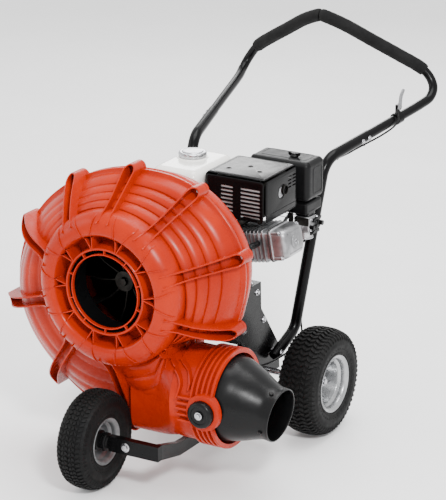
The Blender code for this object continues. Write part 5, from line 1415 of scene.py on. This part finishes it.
# ---------------------------------------------------------------- floor, light and camera
def stage_material():
    mat = bpy.data.materials.new("studio_floor")
    mat.use_nodes = True
    tree = mat.node_tree
    shader = tree.nodes["Principled BSDF"]
    place = tree.nodes.new("ShaderNodeTexCoord").outputs["Object"]
    tree.links.new(ramp(tree, noise(tree, place, 1.5), [(0.3, (0.9, 0.9, 0.9)), (0.7, (0.93, 0.93, 0.93))]),
                   shader.inputs["Base Color"])
    shader.inputs["Roughness"].default_value = 0.7
    shader.inputs["Specular IOR Level"].default_value = 0.15
    return mat


floor_bm = bmesh.new()
FLOOR_HALF, FLOOR_Z = 30, -0.0002
corners = [floor_bm.verts.new((x * FLOOR_HALF, y * FLOOR_HALF, FLOOR_Z)) for x,
           y in ((-1, -1), (1, -1), (1, 1), (-1, 1))]
floor_bm.faces.new(corners)
floor_mesh = bpy.data.meshes.new("floor")
floor_bm.to_mesh(floor_mesh)
floor_bm.free()
floor_mesh.materials.append(stage_material())
floor = bpy.data.objects.new("floor", floor_mesh)
bpy.context.scene.collection.objects.link(floor)
floor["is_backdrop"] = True

world = bpy.data.worlds.new("studio")
world.use_nodes = True
world.node_tree.nodes["Background"].inputs["Color"].default_value = (1.0, 1.0, 1.0, 1.0)
world.node_tree.nodes["Background"].inputs["Strength"].default_value = 1.6
bpy.context.scene.world = world


def area_light(name, place, aim, size, power, height=None):
    light = bpy.data.lights.new(name, "AREA")
    light.energy = power
    light.size = size
    if height:
        light.shape = "RECTANGLE"
        light.size_y = height
    obj = bpy.data.objects.new(name, light)
    bpy.context.scene.collection.objects.link(obj)
    place, aim = Vector(place), Vector(aim)
    obj.matrix_world = Matrix.Translation(place) @ (place - aim).to_track_quat("Z", "Y").to_matrix().to_4x4()
    obj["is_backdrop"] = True


area_light("key", (3.0, -3.4, 3.6), (0, -0.1, 0.5), 0.7, 290)
area_light("fill", (-3.6, -2.2, 2.2), (0, -0.2, 0.5), 1.8, 45, 2.6)
area_light("top", (0.2, 0.4, 3.8), (0, 0, 0.5), 2.4, 130)
area_light("back", (-1.8, 3.6, 2.4), (0, 0, 0.6), 1.6, 60)

VIEW_TURN_DEG, VIEW_LIFT_DEG, VIEW_DISTANCE = 30.0, 19.0, 7.988
VIEW_TARGET = Vector((0.107, 0.096, 0.585))
LENS_MM = 194.4
camera = bpy.data.cameras.new("camera")
camera.sensor_width = 36.0
camera.lens = LENS_MM
camera.clip_end = 100.0
shot = bpy.data.objects.new("camera", camera)
bpy.context.scene.collection.objects.link(shot)
turn, lift = math.radians(VIEW_TURN_DEG), math.radians(VIEW_LIFT_DEG)
back = Vector((math.sin(turn) * math.cos(lift), -math.cos(turn) * math.cos(lift), math.sin(lift)))
shot.matrix_world = Matrix.Translation(VIEW_TARGET + SHIFT + back *
                                       VIEW_DISTANCE) @ back.to_track_quat("Z", "Y").to_matrix().to_4x4()
bpy.context.scene.camera = shot

low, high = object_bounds()
